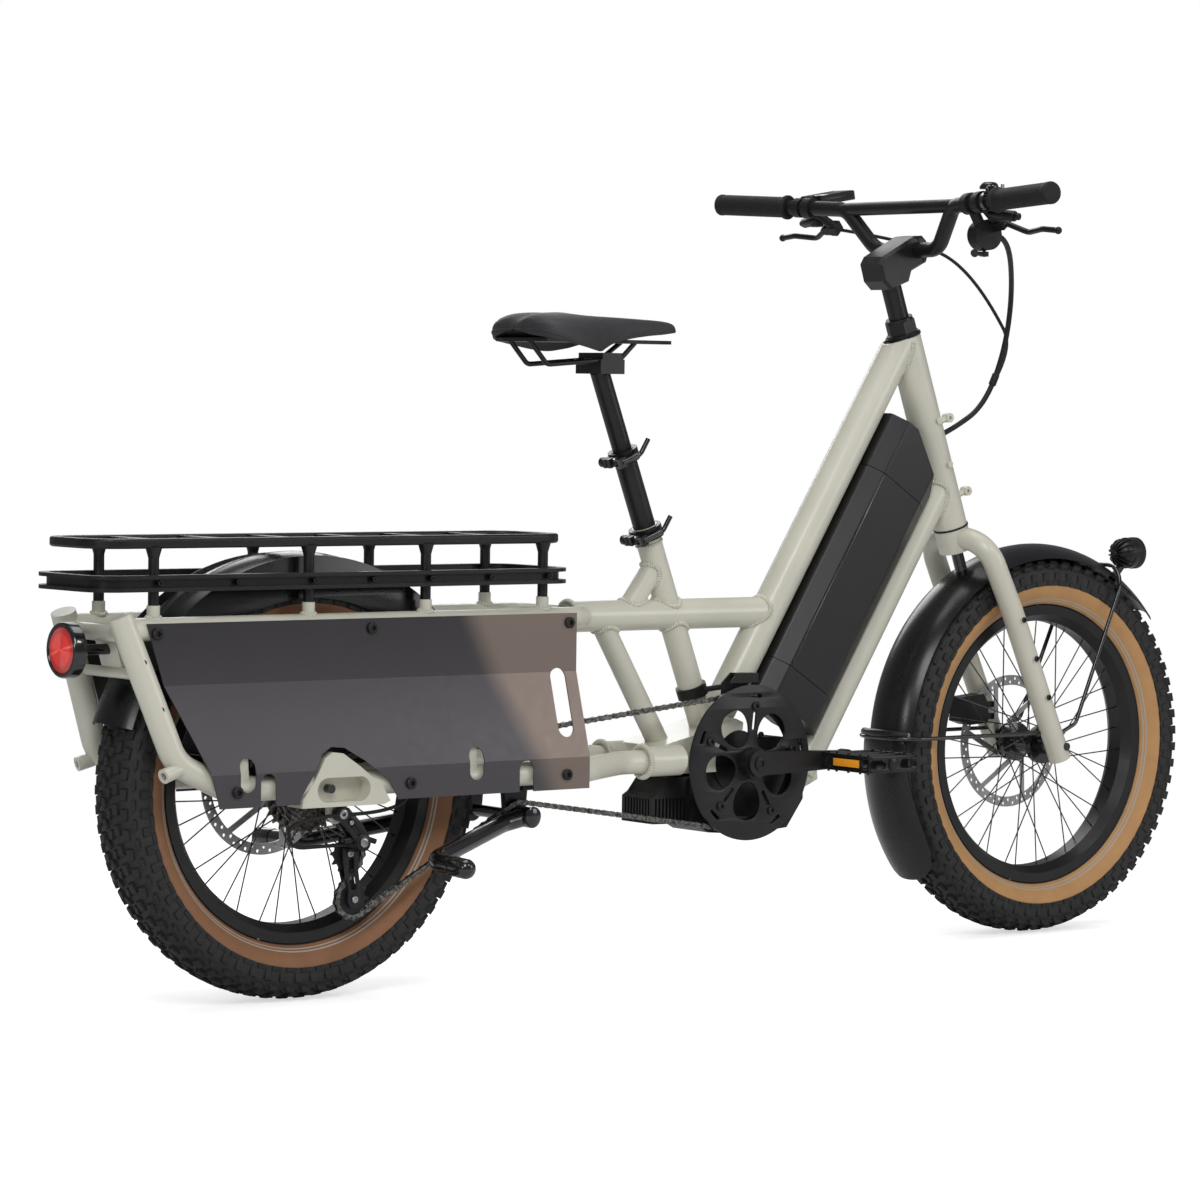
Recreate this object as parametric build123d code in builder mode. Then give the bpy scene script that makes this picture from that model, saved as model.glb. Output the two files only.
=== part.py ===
"""Electric cargo bicycle: a long-tail step-through frame on two 20 inch wheels.

Millimetres. +X is forward, +Y is the rider's left, +Z is up. The tyres stand on Z = 0 and
the origin lies on the ground midway between the rack's rear end and the front of the front tyre.
"""

import os
from math import asin, atan2, cos, hypot, pi, radians, sin, tan

from build123d import *

os.makedirs("parts", exist_ok=True)

BOTTOM = (Align.CENTER, Align.CENTER, Align.MIN)
SIDES = (-1, 1)

# --- Clearances ---
FIT = 0.05  # radial, a shaft turning or sliding in its bore
GAP = 0.4  # between pieces that lie against each other
SWING = 1.5  # between pieces that sweep past each other

# --- Wheels ---
WHEELBASE = 1348.0
TYRE_R = 284.0
TYRE_HALF_W = 45.0
TYRE_WALL = 4.5
TREAD_DEPTH = 5.0
BEAD_R = 203.0
RIM_FLANGE_R = 209.0
RIM_HALF_W = 26.0
RIM_DEPTH = 18.0
RIM_WALL = 2.5
SPOKE_R = 0.95
SPOKE_COUNT = 36
SPOKE_CROSS_DEG = 62.0
SPOKE_STAGGER = 2.2
AXLE_R = 6.0
ROTOR_R = 100.0
ROTOR_T = 1.8
ROTOR_BAND = 15.0

# --- Where the two ends stand ---
RACK_OVERHANG = 350.0
REAR_X = (RACK_OVERHANG - WHEELBASE - TYRE_R) / 2
FRONT_X = REAR_X + WHEELBASE
AXLE_Z = TYRE_R

# --- Steering ---
HEAD_ANGLE = 70.1
FORK_OFFSET = 46.5
HEAD_TUBE_LOW = 349.0  # along the steering axis from axle height
HEAD_TUBE_LENGTH = 297.0
HEAD_TUBE_R = 25.0
STEERER_R = 15.0
CUP_LENGTH = 14.0
TUBE_WALL = 2.5

# --- Frame tubes ---
BAY_ANGLE = 57.5  # the two big tubes that hold the battery
UPPER_TUBE_R = 24.5
LOWER_TUBE_R = 23.0
BAY_PITCH = 180.0  # between the axes of those two tubes
CRANK_X = REAR_X + 738.0
CRANK_Z = 285.0
MID_TUBE_Z = 493.0
MID_TUBE_R = 21.5
SEAT_ANGLE = 68.7
SEAT_TUBE_R = 18.0
SEAT_BORE_R = 15.9
SEAT_TUBE_TOP = 617.0
BRACE_R = 15.5
JOINT_X = REAR_X + 500.0  # where the mid tube meets the twin rails
STAY_X = REAR_X + 560.0  # where the lower yoke meets the lower rails
STAY_Y = 46.0
STAY_Z = 292.0
YOKE_R = 21.5

# --- Rear frame ---
RAIL_Y = 65.0
RAIL_Z = 496.0
RAIL_R = 15.0
SILL_Y = 95.0  # lower rails beside the wheel
SILL_R = 16.5
TAIL_X = REAR_X - 306.0
TAIL_Z = 513.0
CASTING = [(-56, 262), (-54, 274), (-36, 298), (-20, 326), (-8, 333), (8, 331), (34, 314), (72, 286), (84, 266),
           (74, 262)]  # dropout, ahead of the rear axle

# --- Rack ---
POST_R = 7.0
POST_XS = [REAR_X + x for x in (-255.0, -17.0, 171.0, 367.0)]
SOCKET_TOP = 526.0
RACK_TOP_Z = 611.0
RACK_BAR_H = 13.0
RACK_BAR_W = 14.0
RACK_REAR = 345.0
RACK_FRONT = 411.0
RACK_CORNER = 46.0
CHANNEL_CORNER = 40.0
CHANNEL_Z = 544.0
CHANNEL_H = 21.0
CHANNEL_W = 13.0
CHANNEL_WEB = 3.0
CHANNEL_LIP = 5.0
SLAT_COUNT = 6
SLAT_W = 18.0
SLAT_T = 3.0

# --- Side panels ---
PANEL_T = 2.0
PANEL_TOP_Y = 85.4
PANEL_LOW_Y = 118.0
PANEL_TOP_Z = 504.0
PANEL_FOLD_HIGH_Z = 425.0
PANEL_FOLD_LOW_Z = 311.0
PANEL_LOW_Z = 268.0
PANEL_FRONT_X = REAR_X + 411.0
BOLT_R = 4.0
BOLT_HEAD_R = 8.0
BOLT_HEAD_H = 4.0

# --- Drive ---
CHAIN_Y = -60.0
CHAIN_PITCH = 12.7
RING_TEETH = 48
COG_TEETH = 12
JOCKEY_TEETH = 12
CHAIN_H = 8.0
CHAIN_INNER = 2.6
CHAIN_OUTER = 6.8
RING_T = 1.9
TOOTH_H = 3.6
GUARD_R = 110.0
GUARD_T = 3.0
CRANK_LENGTH = 163.0
CRANK_Y = 85.0
SPINDLE_R = 12.0
PEDAL_LENGTH = 92.0
PEDAL_WIDTH = 96.0
PEDAL_H = 24.0
PEDAL_PIN_R = 6.0

# --- Seat ---
POST_LOW_R = SEAT_BORE_R - FIT
POST_HIGH_R = 13.6
LOWER_COLLAR_Z = SEAT_TUBE_TOP - 8.5
UPPER_COLLAR_Z = 716.0
COLLAR_H = 17.0
COLLAR_T = 5.5
CLAMP_AT = (REAR_X + 513.0, 848.5)  # where the rails cross the saddle clamp
SADDLE_LOW = 876.0
SADDLE_HALF = [(365, 36), (371, 60), (383, 74), (402, 79), (425, 77), (448, 70), (468, 59), (488, 45), (512, 34),
               (545, 27), (610, 19.5), (632, 15), (640, 8)]
SADDLE_CREST = [(355, 896), (368, 904), (392, 911), (425, 912.5), (512, 909.5), (580, 907), (625, 903), (645, 895)]

# --- Handlebar ---
BAR_R = 11.1
RISER_R = 12.0
CLAMP_X = 47.5  # ahead of the steering axis
CLAMP_S = 762.0  # along the steering axis from axle height
BAR_HALF = 354.0
GRIP_R = 15.5
GRIP_LENGTH = 132.0


def rear(x, y, z):
    """A point given from the rear axle's place along X."""
    return Vector(REAR_X + x, y, z)


def front(x, y, z):
    """A point given from the front axle, in X and Z."""
    return Vector(FRONT_X + x, y, AXLE_Z + z)


def rod(start, end, radius, mode=Mode.ADD):
    """A round bar between two points."""
    axis = Vector(end) - Vector(start)
    with Locations(Plane(origin=start, z_dir=axis)):
        Cylinder(radius, axis.length, align=BOTTOM, mode=mode)


def pin(x, z, y_low, y_high, radius, mode=Mode.ADD):
    """A round bar across the bicycle."""
    rod((x, y_low, z), (x, y_high, z), radius, mode)


def pipe(points, bends, radius, mode=Mode.ADD):
    """A round bar along a bent route."""
    with BuildLine() as route:
        FilletPolyline(*points, radius=bends)
    line = route.line
    with BuildSketch(Plane(origin=line @ 0, z_dir=line % 0)) as section:
        Circle(radius)
    sweep(section.sketch, path=line, mode=mode)


def cross_plane(y):
    """An upright plane along the bicycle: its x is +X, its y is +Z, and it extrudes to +Y."""
    return Plane(origin=(0, y, 0), x_dir=(-1, 0, 0), z_dir=(0, 1, 0))


def slab(points, y_low, y_high, mode=Mode.ADD):
    """A plate across the bicycle with the outline given by (X, Z) points."""
    outline = [(-x, z) for x, z in points]
    with BuildSketch(cross_plane(y_low)) as section:
        Polygon(*outline, align=None)
    extrude(section.sketch, amount=y_high - y_low, mode=mode)


def mirrored(points, side):
    """The same points on the left (1) or the right (-1)."""
    return [Vector(p.X, side * p.Y, p.Z) for p in points]


def save(builder, name):
    """Label a finished piece and write it to its file."""
    builder.part.label = name
    export_step(builder.part, f"parts/{name}.step")


# --- Local frames ---
# Steering: x forward across the axis, y left, z up the steering axis, origin at axle height.
head_up = Vector(-cos(radians(HEAD_ANGLE)), 0, sin(radians(HEAD_ANGLE)))
head_forward = Vector(sin(radians(HEAD_ANGLE)), 0, cos(radians(HEAD_ANGLE)))
STEER_X = FRONT_X - FORK_OFFSET / sin(radians(HEAD_ANGLE))
steer = Plane(origin=(STEER_X, 0, AXLE_Z), x_dir=head_forward, z_dir=head_up)


def on_steer(x, y, s):
    """A point ahead of the steering axis by x, at s along it."""
    return steer.from_local_coords(Vector(x, y, s))


# Battery bay: x down and forward across the two big tubes, y left, z up along them.
bay_up = Vector(cos(radians(BAY_ANGLE)), 0, sin(radians(BAY_ANGLE)))
bay_down = Vector(sin(radians(BAY_ANGLE)), 0, -cos(radians(BAY_ANGLE)))
HEAD_TUBE_HIGH = HEAD_TUBE_LOW + HEAD_TUBE_LENGTH
upper_joint = on_steer(0, 0, HEAD_TUBE_HIGH)
bay = Plane(origin=upper_joint, x_dir=bay_down, z_dir=bay_up)
BAY_LENGTH = 620.0  # of the upper tube's axis, down to the crank


def in_bay(across, y, along):
    """A point in the battery bay, with along counted down from the upper tube's head end."""
    return bay.from_local_coords(Vector(across, y, -along))


def seat_point(z, out=0.0):
    """A point on the seat tube's axis at height z, or out in front of it."""
    x = REAR_X + 597.0 + (614.0 - z) / tan(radians(SEAT_ANGLE))
    return Vector(x + out * sin(radians(SEAT_ANGLE)), 0, z + out * cos(radians(SEAT_ANGLE)))


seat_up = (seat_point(700) - seat_point(600)).normalized()


def seat_plane(z):
    """Square to the seat tube at height z, with x forward."""
    return Plane(origin=seat_point(z), x_dir=(sin(radians(SEAT_ANGLE)), 0, cos(radians(SEAT_ANGLE))),
                 z_dir=seat_up)


# --- Main frame ---
LOWER_TUBE_TOP = 138.6  # along the bay, where the lower tube meets the head tube
LOWER_TUBE_END = 636.0
UPPER_TUBE_END = 660.0
MOTOR_R = 44.0
YOKE_Z = (272.0, 312.0)
BORE_R = STEERER_R + FIT

upper_end = in_bay(0, 0, UPPER_TUBE_END)
lower_top = in_bay(BAY_PITCH, 0, LOWER_TUBE_TOP)
lower_end = in_bay(BAY_PITCH, 0, LOWER_TUBE_END)
mid_end_x = upper_joint.X - (upper_joint.Z - MID_TUBE_Z) / tan(radians(BAY_ANGLE))
mid_start = Vector(JOINT_X, 0, MID_TUBE_Z)
mid_end = Vector(mid_end_x, 0, MID_TUBE_Z)
seat_x = seat_point(MID_TUBE_Z).X

with BuildPart() as main_frame:
    rod(on_steer(0, 0, HEAD_TUBE_LOW), on_steer(0, 0, HEAD_TUBE_HIGH), HEAD_TUBE_R)
    rod(upper_joint, upper_end, UPPER_TUBE_R)
    rod(lower_top, lower_end, LOWER_TUBE_R)
    rod(mid_start, mid_end, MID_TUBE_R)
    rod(seat_point(328), seat_point(SEAT_TUBE_TOP), SEAT_TUBE_R)
    rod(seat_point(564), (seat_x - 78, 0, MID_TUBE_Z + 6), BRACE_R)
    rod((JOINT_X + 18, 0, MID_TUBE_Z - 4), rear(634, 0, 300), BRACE_R)
    for side in SIDES:
        rod((STAY_X, side * STAY_Y, STAY_Z), rear(626, side * STAY_Y, STAY_Z), YOKE_R)
    slab([(STAY_X + 34, YOKE_Z[0]), (STAY_X + 34, YOKE_Z[1]), (CRANK_X - 52, 332), (CRANK_X - 8, 346),
          (CRANK_X + 6, 340), (CRANK_X, YOKE_Z[0])], -STAY_Y, STAY_Y)
    # lug at the foot of the lower tube that carries the front of the motor
    slab([(CRANK_X + 128, 232), (CRANK_X + 128, 268), (CRANK_X + 170, 278), (CRANK_X + 172, 250)], -18, 18)
    # cable and accessory bosses on the head tube
    for s in (446, 514):
        for side in SIDES:
            rod(on_steer(4, side * 20, s), on_steer(4, side * 29.5, s), 5)
    for s in (388, 503):
        rod(on_steer(20, 0, s), on_steer(41, 0, s), 4.5)
        rod(on_steer(46, -6, s), on_steer(46, 6, s), 7)
        rod(on_steer(46, -6, s), on_steer(46, 6, s), 2.6, Mode.SUBTRACT)
    rod(on_steer(0, 0, HEAD_TUBE_HIGH), on_steer(0, 0, HEAD_TUBE_HIGH + 60), 60, Mode.SUBTRACT)
    # hollow tubes, open into the head tube and at the rear joint
    rod(upper_joint, in_bay(0, 0, UPPER_TUBE_END - 46), UPPER_TUBE_R - TUBE_WALL, Mode.SUBTRACT)
    rod(lower_top, in_bay(BAY_PITCH, 0, LOWER_TUBE_END - 8), LOWER_TUBE_R - TUBE_WALL, Mode.SUBTRACT)
    rod((seat_x + 24, 0, MID_TUBE_Z), mid_end, MID_TUBE_R - TUBE_WALL, Mode.SUBTRACT)
    rod(on_steer(0, 0, HEAD_TUBE_LOW), on_steer(0, 0, HEAD_TUBE_HIGH), BORE_R, Mode.SUBTRACT)
    rod(on_steer(0, 0, HEAD_TUBE_LOW + CUP_LENGTH), on_steer(0, 0, HEAD_TUBE_HIGH - CUP_LENGTH),
        HEAD_TUBE_R - TUBE_WALL, Mode.SUBTRACT)
    rod(seat_point(372), seat_point(SEAT_TUBE_TOP + 1), SEAT_BORE_R, Mode.SUBTRACT)
    pin(CRANK_X, CRANK_Z, -60, 60, MOTOR_R + GAP, Mode.SUBTRACT)
save(main_frame, "main_frame")


# --- Rear frame: twin rails, sills beside the wheel, tail tubes and dropouts ---
FENDER_W = 46.0
FENDER_DROP = 21.0
FENDER_T = 2.0
REAR_FENDER_R = 306.0
TAIL_TUBE_R = 16.0
CROSS_HIGH_R = 11.0
CROSS_LOW_R = 7.0
CROSS_LOW_Z = 438.0
DROPOUT_Y = (78.0, 88.0)
SOCKET_R = 8.5
PANEL_BOLTS_HIGH = [rear(x, 0, 491) for x in (-262, 70, 398)]
PANEL_BOLTS_LOW = [rear(x, 0, 288) for x in (-160, 112, 372)]
STUB_R = 9.5


def around_rear(radius, z):
    """How far behind the rear axle a point at height z lies, at a radius from that axle."""
    return (radius**2 - (z - AXLE_Z) ** 2) ** 0.5


cross_low_x = REAR_X - around_rear(REAR_FENDER_R + GAP + CROSS_LOW_R, CROSS_LOW_Z)
bridge_x = REAR_X + around_rear(REAR_FENDER_R + GAP + CROSS_LOW_R, RAIL_Z)
tail_route = [
    Vector(STAY_X, STAY_Y, STAY_Z),
    rear(520, STAY_Y, STAY_Z),
    rear(420, SILL_Y, STAY_Z - 2),
    rear(-160, SILL_Y, STAY_Z - 2),
    rear(-238, SILL_Y - 2, 326),
    Vector(TAIL_X, 68, TAIL_Z),
]
rail_route = [rear(474, 14, RAIL_Z - 2), rear(424, RAIL_Y, RAIL_Z), rear(-297, RAIL_Y + 3, RAIL_Z)]

with BuildPart() as rear_frame:
    rod((JOINT_X - 40, 0, MID_TUBE_Z), mid_start, MID_TUBE_R)
    for side in SIDES:
        pipe(mirrored(rail_route, side), 30, RAIL_R)
        pipe(mirrored(tail_route, side), [60, 60, 60, 50], SILL_R)
        for x in POST_XS:
            foot = Vector(x, side * RAIL_Y, RAIL_Z)
            rod(foot, foot + Vector(0, 0, SOCKET_TOP - RAIL_Z), SOCKET_R)
        for spot in PANEL_BOLTS_HIGH:
            pin(spot.X, spot.Z, *sorted((side * 74, side * (PANEL_TOP_Y - PANEL_T - GAP))), 8)
        for spot in PANEL_BOLTS_LOW:
            pin(spot.X, spot.Z, *sorted((side * 104, side * (PANEL_LOW_Y - PANEL_T - GAP))), 8)
        # dropout casting on the sill, scooped out round the axle's end
        low, high = sorted((side * DROPOUT_Y[0], side * 112))
        slab([(REAR_X + x, z) for x, z in CASTING], low, high)
        low, high = sorted((side * DROPOUT_Y[1], side * 130))
        with BuildSketch(cross_plane(low)) as scoop:
            with Locations((-REAR_X - 10, AXLE_Z)):
                SlotOverall(84, 32)
        extrude(scoop.sketch, amount=high - low, mode=Mode.SUBTRACT)
        pin(REAR_X, AXLE_Z, *sorted((side * 70, side * 130)), AXLE_R + FIT, Mode.SUBTRACT)
        # stub that the bicycle stands on when it is tipped up on its tail
        stub = rear(-262, side * 103, 312)
        along_stub = Vector(-34, side * 6, -10).normalized()
        rod(stub - along_stub * 36, stub, STUB_R)
        rod(stub - along_stub * 23, stub + along_stub, 5, Mode.SUBTRACT)
        for x in (-143, 221):
            slab([(REAR_X + x - 8, 296), (REAR_X + x + 8, 296), (REAR_X + x + 6, 330),
                  (REAR_X + x - 6, 330)], *sorted((side * 102, side * 107)))
    pin(REAR_X - 296, 490, -74, 74, CROSS_HIGH_R)
    pin(cross_low_x, CROSS_LOW_Z, -81, 81, CROSS_LOW_R)
    pin(bridge_x, RAIL_Z, -64, 64, CROSS_LOW_R)
    # plate that carries the tail lamp, and the gear hanger
    slab([(REAR_X - 290, 494), (REAR_X - 286, 494), (cross_low_x + 4, 438), (cross_low_x, 438)], -24, 24)
    slab([(REAR_X + 4, 268), (REAR_X + 4, 246), (REAR_X + 16, 236), (REAR_X + 32, 240), (REAR_X + 36, 268)],
         -84, -78)
    for side in SIDES:
        for x in POST_XS:
            with Locations(Plane(origin=(x, side * RAIL_Y, SOCKET_TOP - 20))):
                Cylinder(POST_R - 2 + FIT, 22, align=BOTTOM, mode=Mode.SUBTRACT)
        for spot in PANEL_BOLTS_HIGH:
            pin(spot.X, spot.Z, *sorted((side * 70, side * PANEL_TOP_Y)), BOLT_R + FIT, Mode.SUBTRACT)
        for spot in PANEL_BOLTS_LOW:
            pin(spot.X, spot.Z, *sorted((side * 104, side * PANEL_LOW_Y)), BOLT_R + FIT, Mode.SUBTRACT)
save(rear_frame, "rear_frame")


# --- Rack ---
RACK_MID = REAR_X + (RACK_FRONT - RACK_REAR) / 2
RACK_LENGTH = RACK_FRONT + RACK_REAR
RACK_Y = RAIL_Y + RACK_BAR_W / 2
POST_INSET = POST_R - 2
CHANNEL_Y = RAIL_Y + POST_R + GAP + CHANNEL_W
CHANNEL_LENGTH = RACK_LENGTH + 2 * (CHANNEL_Y - RACK_Y) - 21
CHANNEL_MID = REAR_X - RACK_OVERHANG + CHANNEL_LENGTH / 2
bar_z = RACK_TOP_Z - RACK_BAR_H

with BuildPart() as rack:
    with BuildSketch(Plane.XY.offset(bar_z)) as loop:
        with Locations((RACK_MID, 0)):
            RectangleRounded(RACK_LENGTH, 2 * RACK_Y, RACK_CORNER)
            RectangleRounded(RACK_LENGTH - 2 * RACK_BAR_W, 2 * (RACK_Y - RACK_BAR_W),
                             RACK_CORNER - RACK_BAR_W, mode=Mode.SUBTRACT)
    extrude(loop.sketch, amount=RACK_BAR_H)
    fillet(rack.part.edges(), 3.5)
    with Locations(Plane(origin=(RACK_MID, 0, RACK_TOP_Z - SLAT_T - 2))):
        with GridLocations(RACK_LENGTH / (SLAT_COUNT + 1), 1, SLAT_COUNT, 1):
            Box(SLAT_W, 2 * RACK_Y - RACK_BAR_W, SLAT_T, align=BOTTOM)
    for side in SIDES:
        for x in POST_XS:
            top = Vector(x, side * RAIL_Y, bar_z + 2)
            rod((x, side * RAIL_Y, SOCKET_TOP), top, POST_R)
            rod((x, side * RAIL_Y, SOCKET_TOP - 18), top, POST_INSET)
            with Locations(Plane(origin=top, z_dir=(0, 0, -1))):
                Cone(11, POST_R, 14, align=BOTTOM)
save(rack, "rack")

with BuildPart() as rack_channel:
    with BuildSketch(Plane.XY.offset(CHANNEL_Z)) as ring:
        with Locations((CHANNEL_MID, 0)):
            RectangleRounded(CHANNEL_LENGTH, 2 * CHANNEL_Y, CHANNEL_CORNER)
            RectangleRounded(CHANNEL_LENGTH - 2 * CHANNEL_W, 2 * (CHANNEL_Y - CHANNEL_W),
                             CHANNEL_CORNER - CHANNEL_W, mode=Mode.SUBTRACT)
    extrude(ring.sketch, amount=CHANNEL_H)
    reach = CHANNEL_W - CHANNEL_WEB
    with BuildSketch(Plane.XY.offset(CHANNEL_Z + CHANNEL_LIP)) as groove:
        with Locations((CHANNEL_MID, 0)):
            RectangleRounded(CHANNEL_LENGTH + 2, 2 * CHANNEL_Y + 2, CHANNEL_CORNER + 1)
            RectangleRounded(CHANNEL_LENGTH - 2 * reach, 2 * (CHANNEL_Y - reach),
                             CHANNEL_CORNER - reach, mode=Mode.SUBTRACT)
    extrude(groove.sketch, amount=CHANNEL_H - 2 * CHANNEL_LIP, mode=Mode.SUBTRACT)
save(rack_channel, "rack_channel")


# --- Side panels ---
PANEL_PROFILE = [(PANEL_TOP_Y, PANEL_TOP_Z), (PANEL_TOP_Y, PANEL_FOLD_HIGH_Z),
                 (PANEL_LOW_Y, PANEL_FOLD_LOW_Z), (PANEL_LOW_Y, PANEL_LOW_Z)]
PANEL_REAR_TOP = 278.0
PANEL_REAR_LOW = 178.0
GRIP_SLOT = (92.0, 26.0)


def make_panel(side):
    """A folded sheet beside the wheel, with the openings that its bolts and bosses need."""
    outer = [(side * y, z) for y, z in PANEL_PROFILE]
    inner = [(side * (y - PANEL_T), z) for y, z in reversed(PANEL_PROFILE)]
    low, high = sorted((side * 60, side * 130))
    start = REAR_X - PANEL_REAR_TOP
    with BuildSketch(Plane(origin=(start, 0, 0), x_dir=(0, 1, 0), z_dir=(1, 0, 0))) as profile:
        Polygon(*outer, *inner, align=None)
    extrude(profile.sketch, amount=PANEL_FRONT_X - start)
    slab([(start - 5, 540), (start + 1, PANEL_TOP_Z), (REAR_X - 251, PANEL_FOLD_HIGH_Z),
          (REAR_X - 198, PANEL_FOLD_LOW_Z), (REAR_X - PANEL_REAR_LOW, 240), (start - 5, 240)],
         low, high, Mode.SUBTRACT)
    with BuildSketch(cross_plane(low)) as openings:
        with Locations((-REAR_X - 378, 384)):
            SlotOverall(*GRIP_SLOT, rotation=90)
        for x in (-143, 221):
            with Locations((-REAR_X - x, 309)):
                SlotOverall(44, 24, rotation=90)
        for x in (-112, 304):
            with Locations((-REAR_X - x, PANEL_LOW_Z + 10)):
                SlotOverall(64, 24, rotation=90)
        for spot in PANEL_BOLTS_HIGH + PANEL_BOLTS_LOW:
            with Locations((-spot.X, spot.Z)):
                Circle(BOLT_R + GAP)
    extrude(openings.sketch, amount=high - low, mode=Mode.SUBTRACT)
    slab([(REAR_X - 66, 250), (REAR_X - 61, 278), (REAR_X - 43, 304), (REAR_X - 26, 331), (REAR_X - 10, 340),
          (REAR_X + 11, 338), (REAR_X + 40, 321), (REAR_X + 78, 293), (REAR_X + 92, 270), (REAR_X + 96, 250)],
         low, high, Mode.SUBTRACT)


with BuildPart() as side_panels:
    for side in SIDES:
        make_panel(side)
save(side_panels, "side_panels")

with BuildPart() as panel_bolts:
    for side in SIDES:
        for spots, face in ((PANEL_BOLTS_HIGH, PANEL_TOP_Y), (PANEL_BOLTS_LOW, PANEL_LOW_Y)):
            for spot in spots:
                pin(spot.X, spot.Z, *sorted((side * face, side * (face + BOLT_HEAD_H))), BOLT_HEAD_R)
                pin(spot.X, spot.Z, *sorted((side * (face - 8), side * (face + 1))), BOLT_R)
                pin(spot.X, spot.Z, *sorted((side * (face + 2), side * (face + 9))), 2.5, Mode.SUBTRACT)
save(panel_bolts, "panel_bolts")


# --- Fenders ---
FRONT_FENDER_R = 301.0
FLAP_T = 3.0


def fender_arc(centre_x, crown_r, half_w, thickness, start, end):
    """A curved sheet round an axle, between two angles counted up from straight ahead."""
    angle = radians(start)
    out = Vector(cos(angle), 0, sin(angle))
    side_r = crown_r - FENDER_DROP
    with BuildSketch(Plane(origin=(centre_x, 0, AXLE_Z), x_dir=(0, 1, 0), z_dir=Vector(0, 1, 0).cross(out))) as shape:
        with BuildLine():
            ThreePointArc((-half_w, side_r), (0, crown_r), (half_w, side_r))
            Line((half_w, side_r), (half_w - thickness, side_r))
            ThreePointArc((half_w - thickness, side_r), (0, crown_r - thickness), (thickness - half_w, side_r))
            Line((thickness - half_w, side_r), (-half_w, side_r))
        make_face()
    revolve(shape.sketch, axis=Axis((centre_x, 0, AXLE_Z), (0, -1, 0)), revolution_arc=end - start)


with BuildPart() as rear_fender:
    fender_arc(REAR_X, REAR_FENDER_R, FENDER_W, FENDER_T, 12, 163)
save(rear_fender, "rear_fender")

with BuildPart() as front_fender:
    fender_arc(FRONT_X, FRONT_FENDER_R, FENDER_W, FENDER_T, 41, 179)
    fender_arc(FRONT_X, FRONT_FENDER_R + FLAP_T + GAP, FENDER_W, FLAP_T, 175, 213)
save(front_fender, "front_fender")


# --- Wheels ---
FLANGE_R = 29.0
HUB_CORE_R = 15.0
SPOKE_END_R = BEAD_R - RIM_DEPTH + RIM_WALL
ROTOR_BOSS_R = 22.0


def across(x):
    """Upright plane square to the bicycle's length, with x to the left and y up."""
    return Plane(origin=(x, 0, AXLE_Z), x_dir=(0, 1, 0), z_dir=(1, 0, 0))


def make_tyre(centre_x):
    """A hollow casing, open towards the rim, with a nearly flat tread."""
    wide = TYRE_HALF_W
    inner = wide - TYRE_WALL
    with BuildSketch(across(centre_x)) as shape:
        with BuildLine():
            Polyline((-RIM_HALF_W + RIM_WALL + GAP, BEAD_R + GAP), (-RIM_HALF_W + RIM_WALL + GAP, RIM_FLANGE_R + GAP),
                     (-RIM_HALF_W - 3, RIM_FLANGE_R + GAP))
            ThreePointArc((-RIM_HALF_W - 3, RIM_FLANGE_R + GAP), (-wide + 6, 226), (-wide, 245))
            Polyline((-wide, 245), (-wide + 1, 262), (-wide + 13, 277))
            ThreePointArc((-wide + 13, 277), (0, TYRE_R), (wide - 13, 277))
            Polyline((wide - 13, 277), (wide - 1, 262), (wide, 245))
            ThreePointArc((wide, 245), (wide - 6, 226), (RIM_HALF_W + 3, RIM_FLANGE_R + GAP))
            Polyline((RIM_HALF_W + 3, RIM_FLANGE_R + GAP), (RIM_HALF_W - RIM_WALL - GAP, RIM_FLANGE_R + GAP),
                     (RIM_HALF_W - RIM_WALL - GAP, BEAD_R + GAP), (RIM_HALF_W - 12, BEAD_R + GAP))
            ThreePointArc((RIM_HALF_W - 12, BEAD_R + GAP), (inner - 10.5, 219), (inner, 245))
            ThreePointArc((inner, 245), (0, TYRE_R - TREAD_DEPTH - TYRE_WALL), (-inner, 245))
            ThreePointArc((-inner, 245), (10.5 - inner, 219), (12 - RIM_HALF_W, BEAD_R + GAP))
            Line((12 - RIM_HALF_W, BEAD_R + GAP), (-RIM_HALF_W + RIM_WALL + GAP, BEAD_R + GAP))
        make_face()
    revolve(shape.sketch, axis=Axis((centre_x, 0, AXLE_Z), (0, 1, 0)))


def make_rim(centre_x):
    """A deep, box-section rim with hooked flanges."""
    base = BEAD_R - RIM_DEPTH
    with BuildSketch(across(centre_x)) as shape:
        with BuildLine():
            Polyline((-RIM_HALF_W, RIM_FLANGE_R), (-RIM_HALF_W, BEAD_R - 8), (-12, base), (12, base),
                     (RIM_HALF_W, BEAD_R - 8), (RIM_HALF_W, RIM_FLANGE_R), (RIM_HALF_W - RIM_WALL, RIM_FLANGE_R),
                     (RIM_HALF_W - RIM_WALL, BEAD_R), (8, BEAD_R), (5, BEAD_R - 5), (-5, BEAD_R - 5),
                     (-8, BEAD_R), (-RIM_HALF_W + RIM_WALL, BEAD_R), (-RIM_HALF_W + RIM_WALL, RIM_FLANGE_R),
                     (-RIM_HALF_W, RIM_FLANGE_R))
        make_face()
        with BuildLine():
            Polyline((-20, BEAD_R - 8), (-10.5, base + RIM_WALL), (10.5, base + RIM_WALL), (20, BEAD_R - 8),
                     (-20, BEAD_R - 8))
        make_face(mode=Mode.SUBTRACT)
    revolve(shape.sketch, axis=Axis((centre_x, 0, AXLE_Z), (0, 1, 0)))
    # spoke holes, which also open the box section
    for centre, direction in spoke_lines(centre_x):
        rod(centre - direction * 14, centre + direction * 4, SPOKE_R + 0.6, Mode.SUBTRACT)


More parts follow.
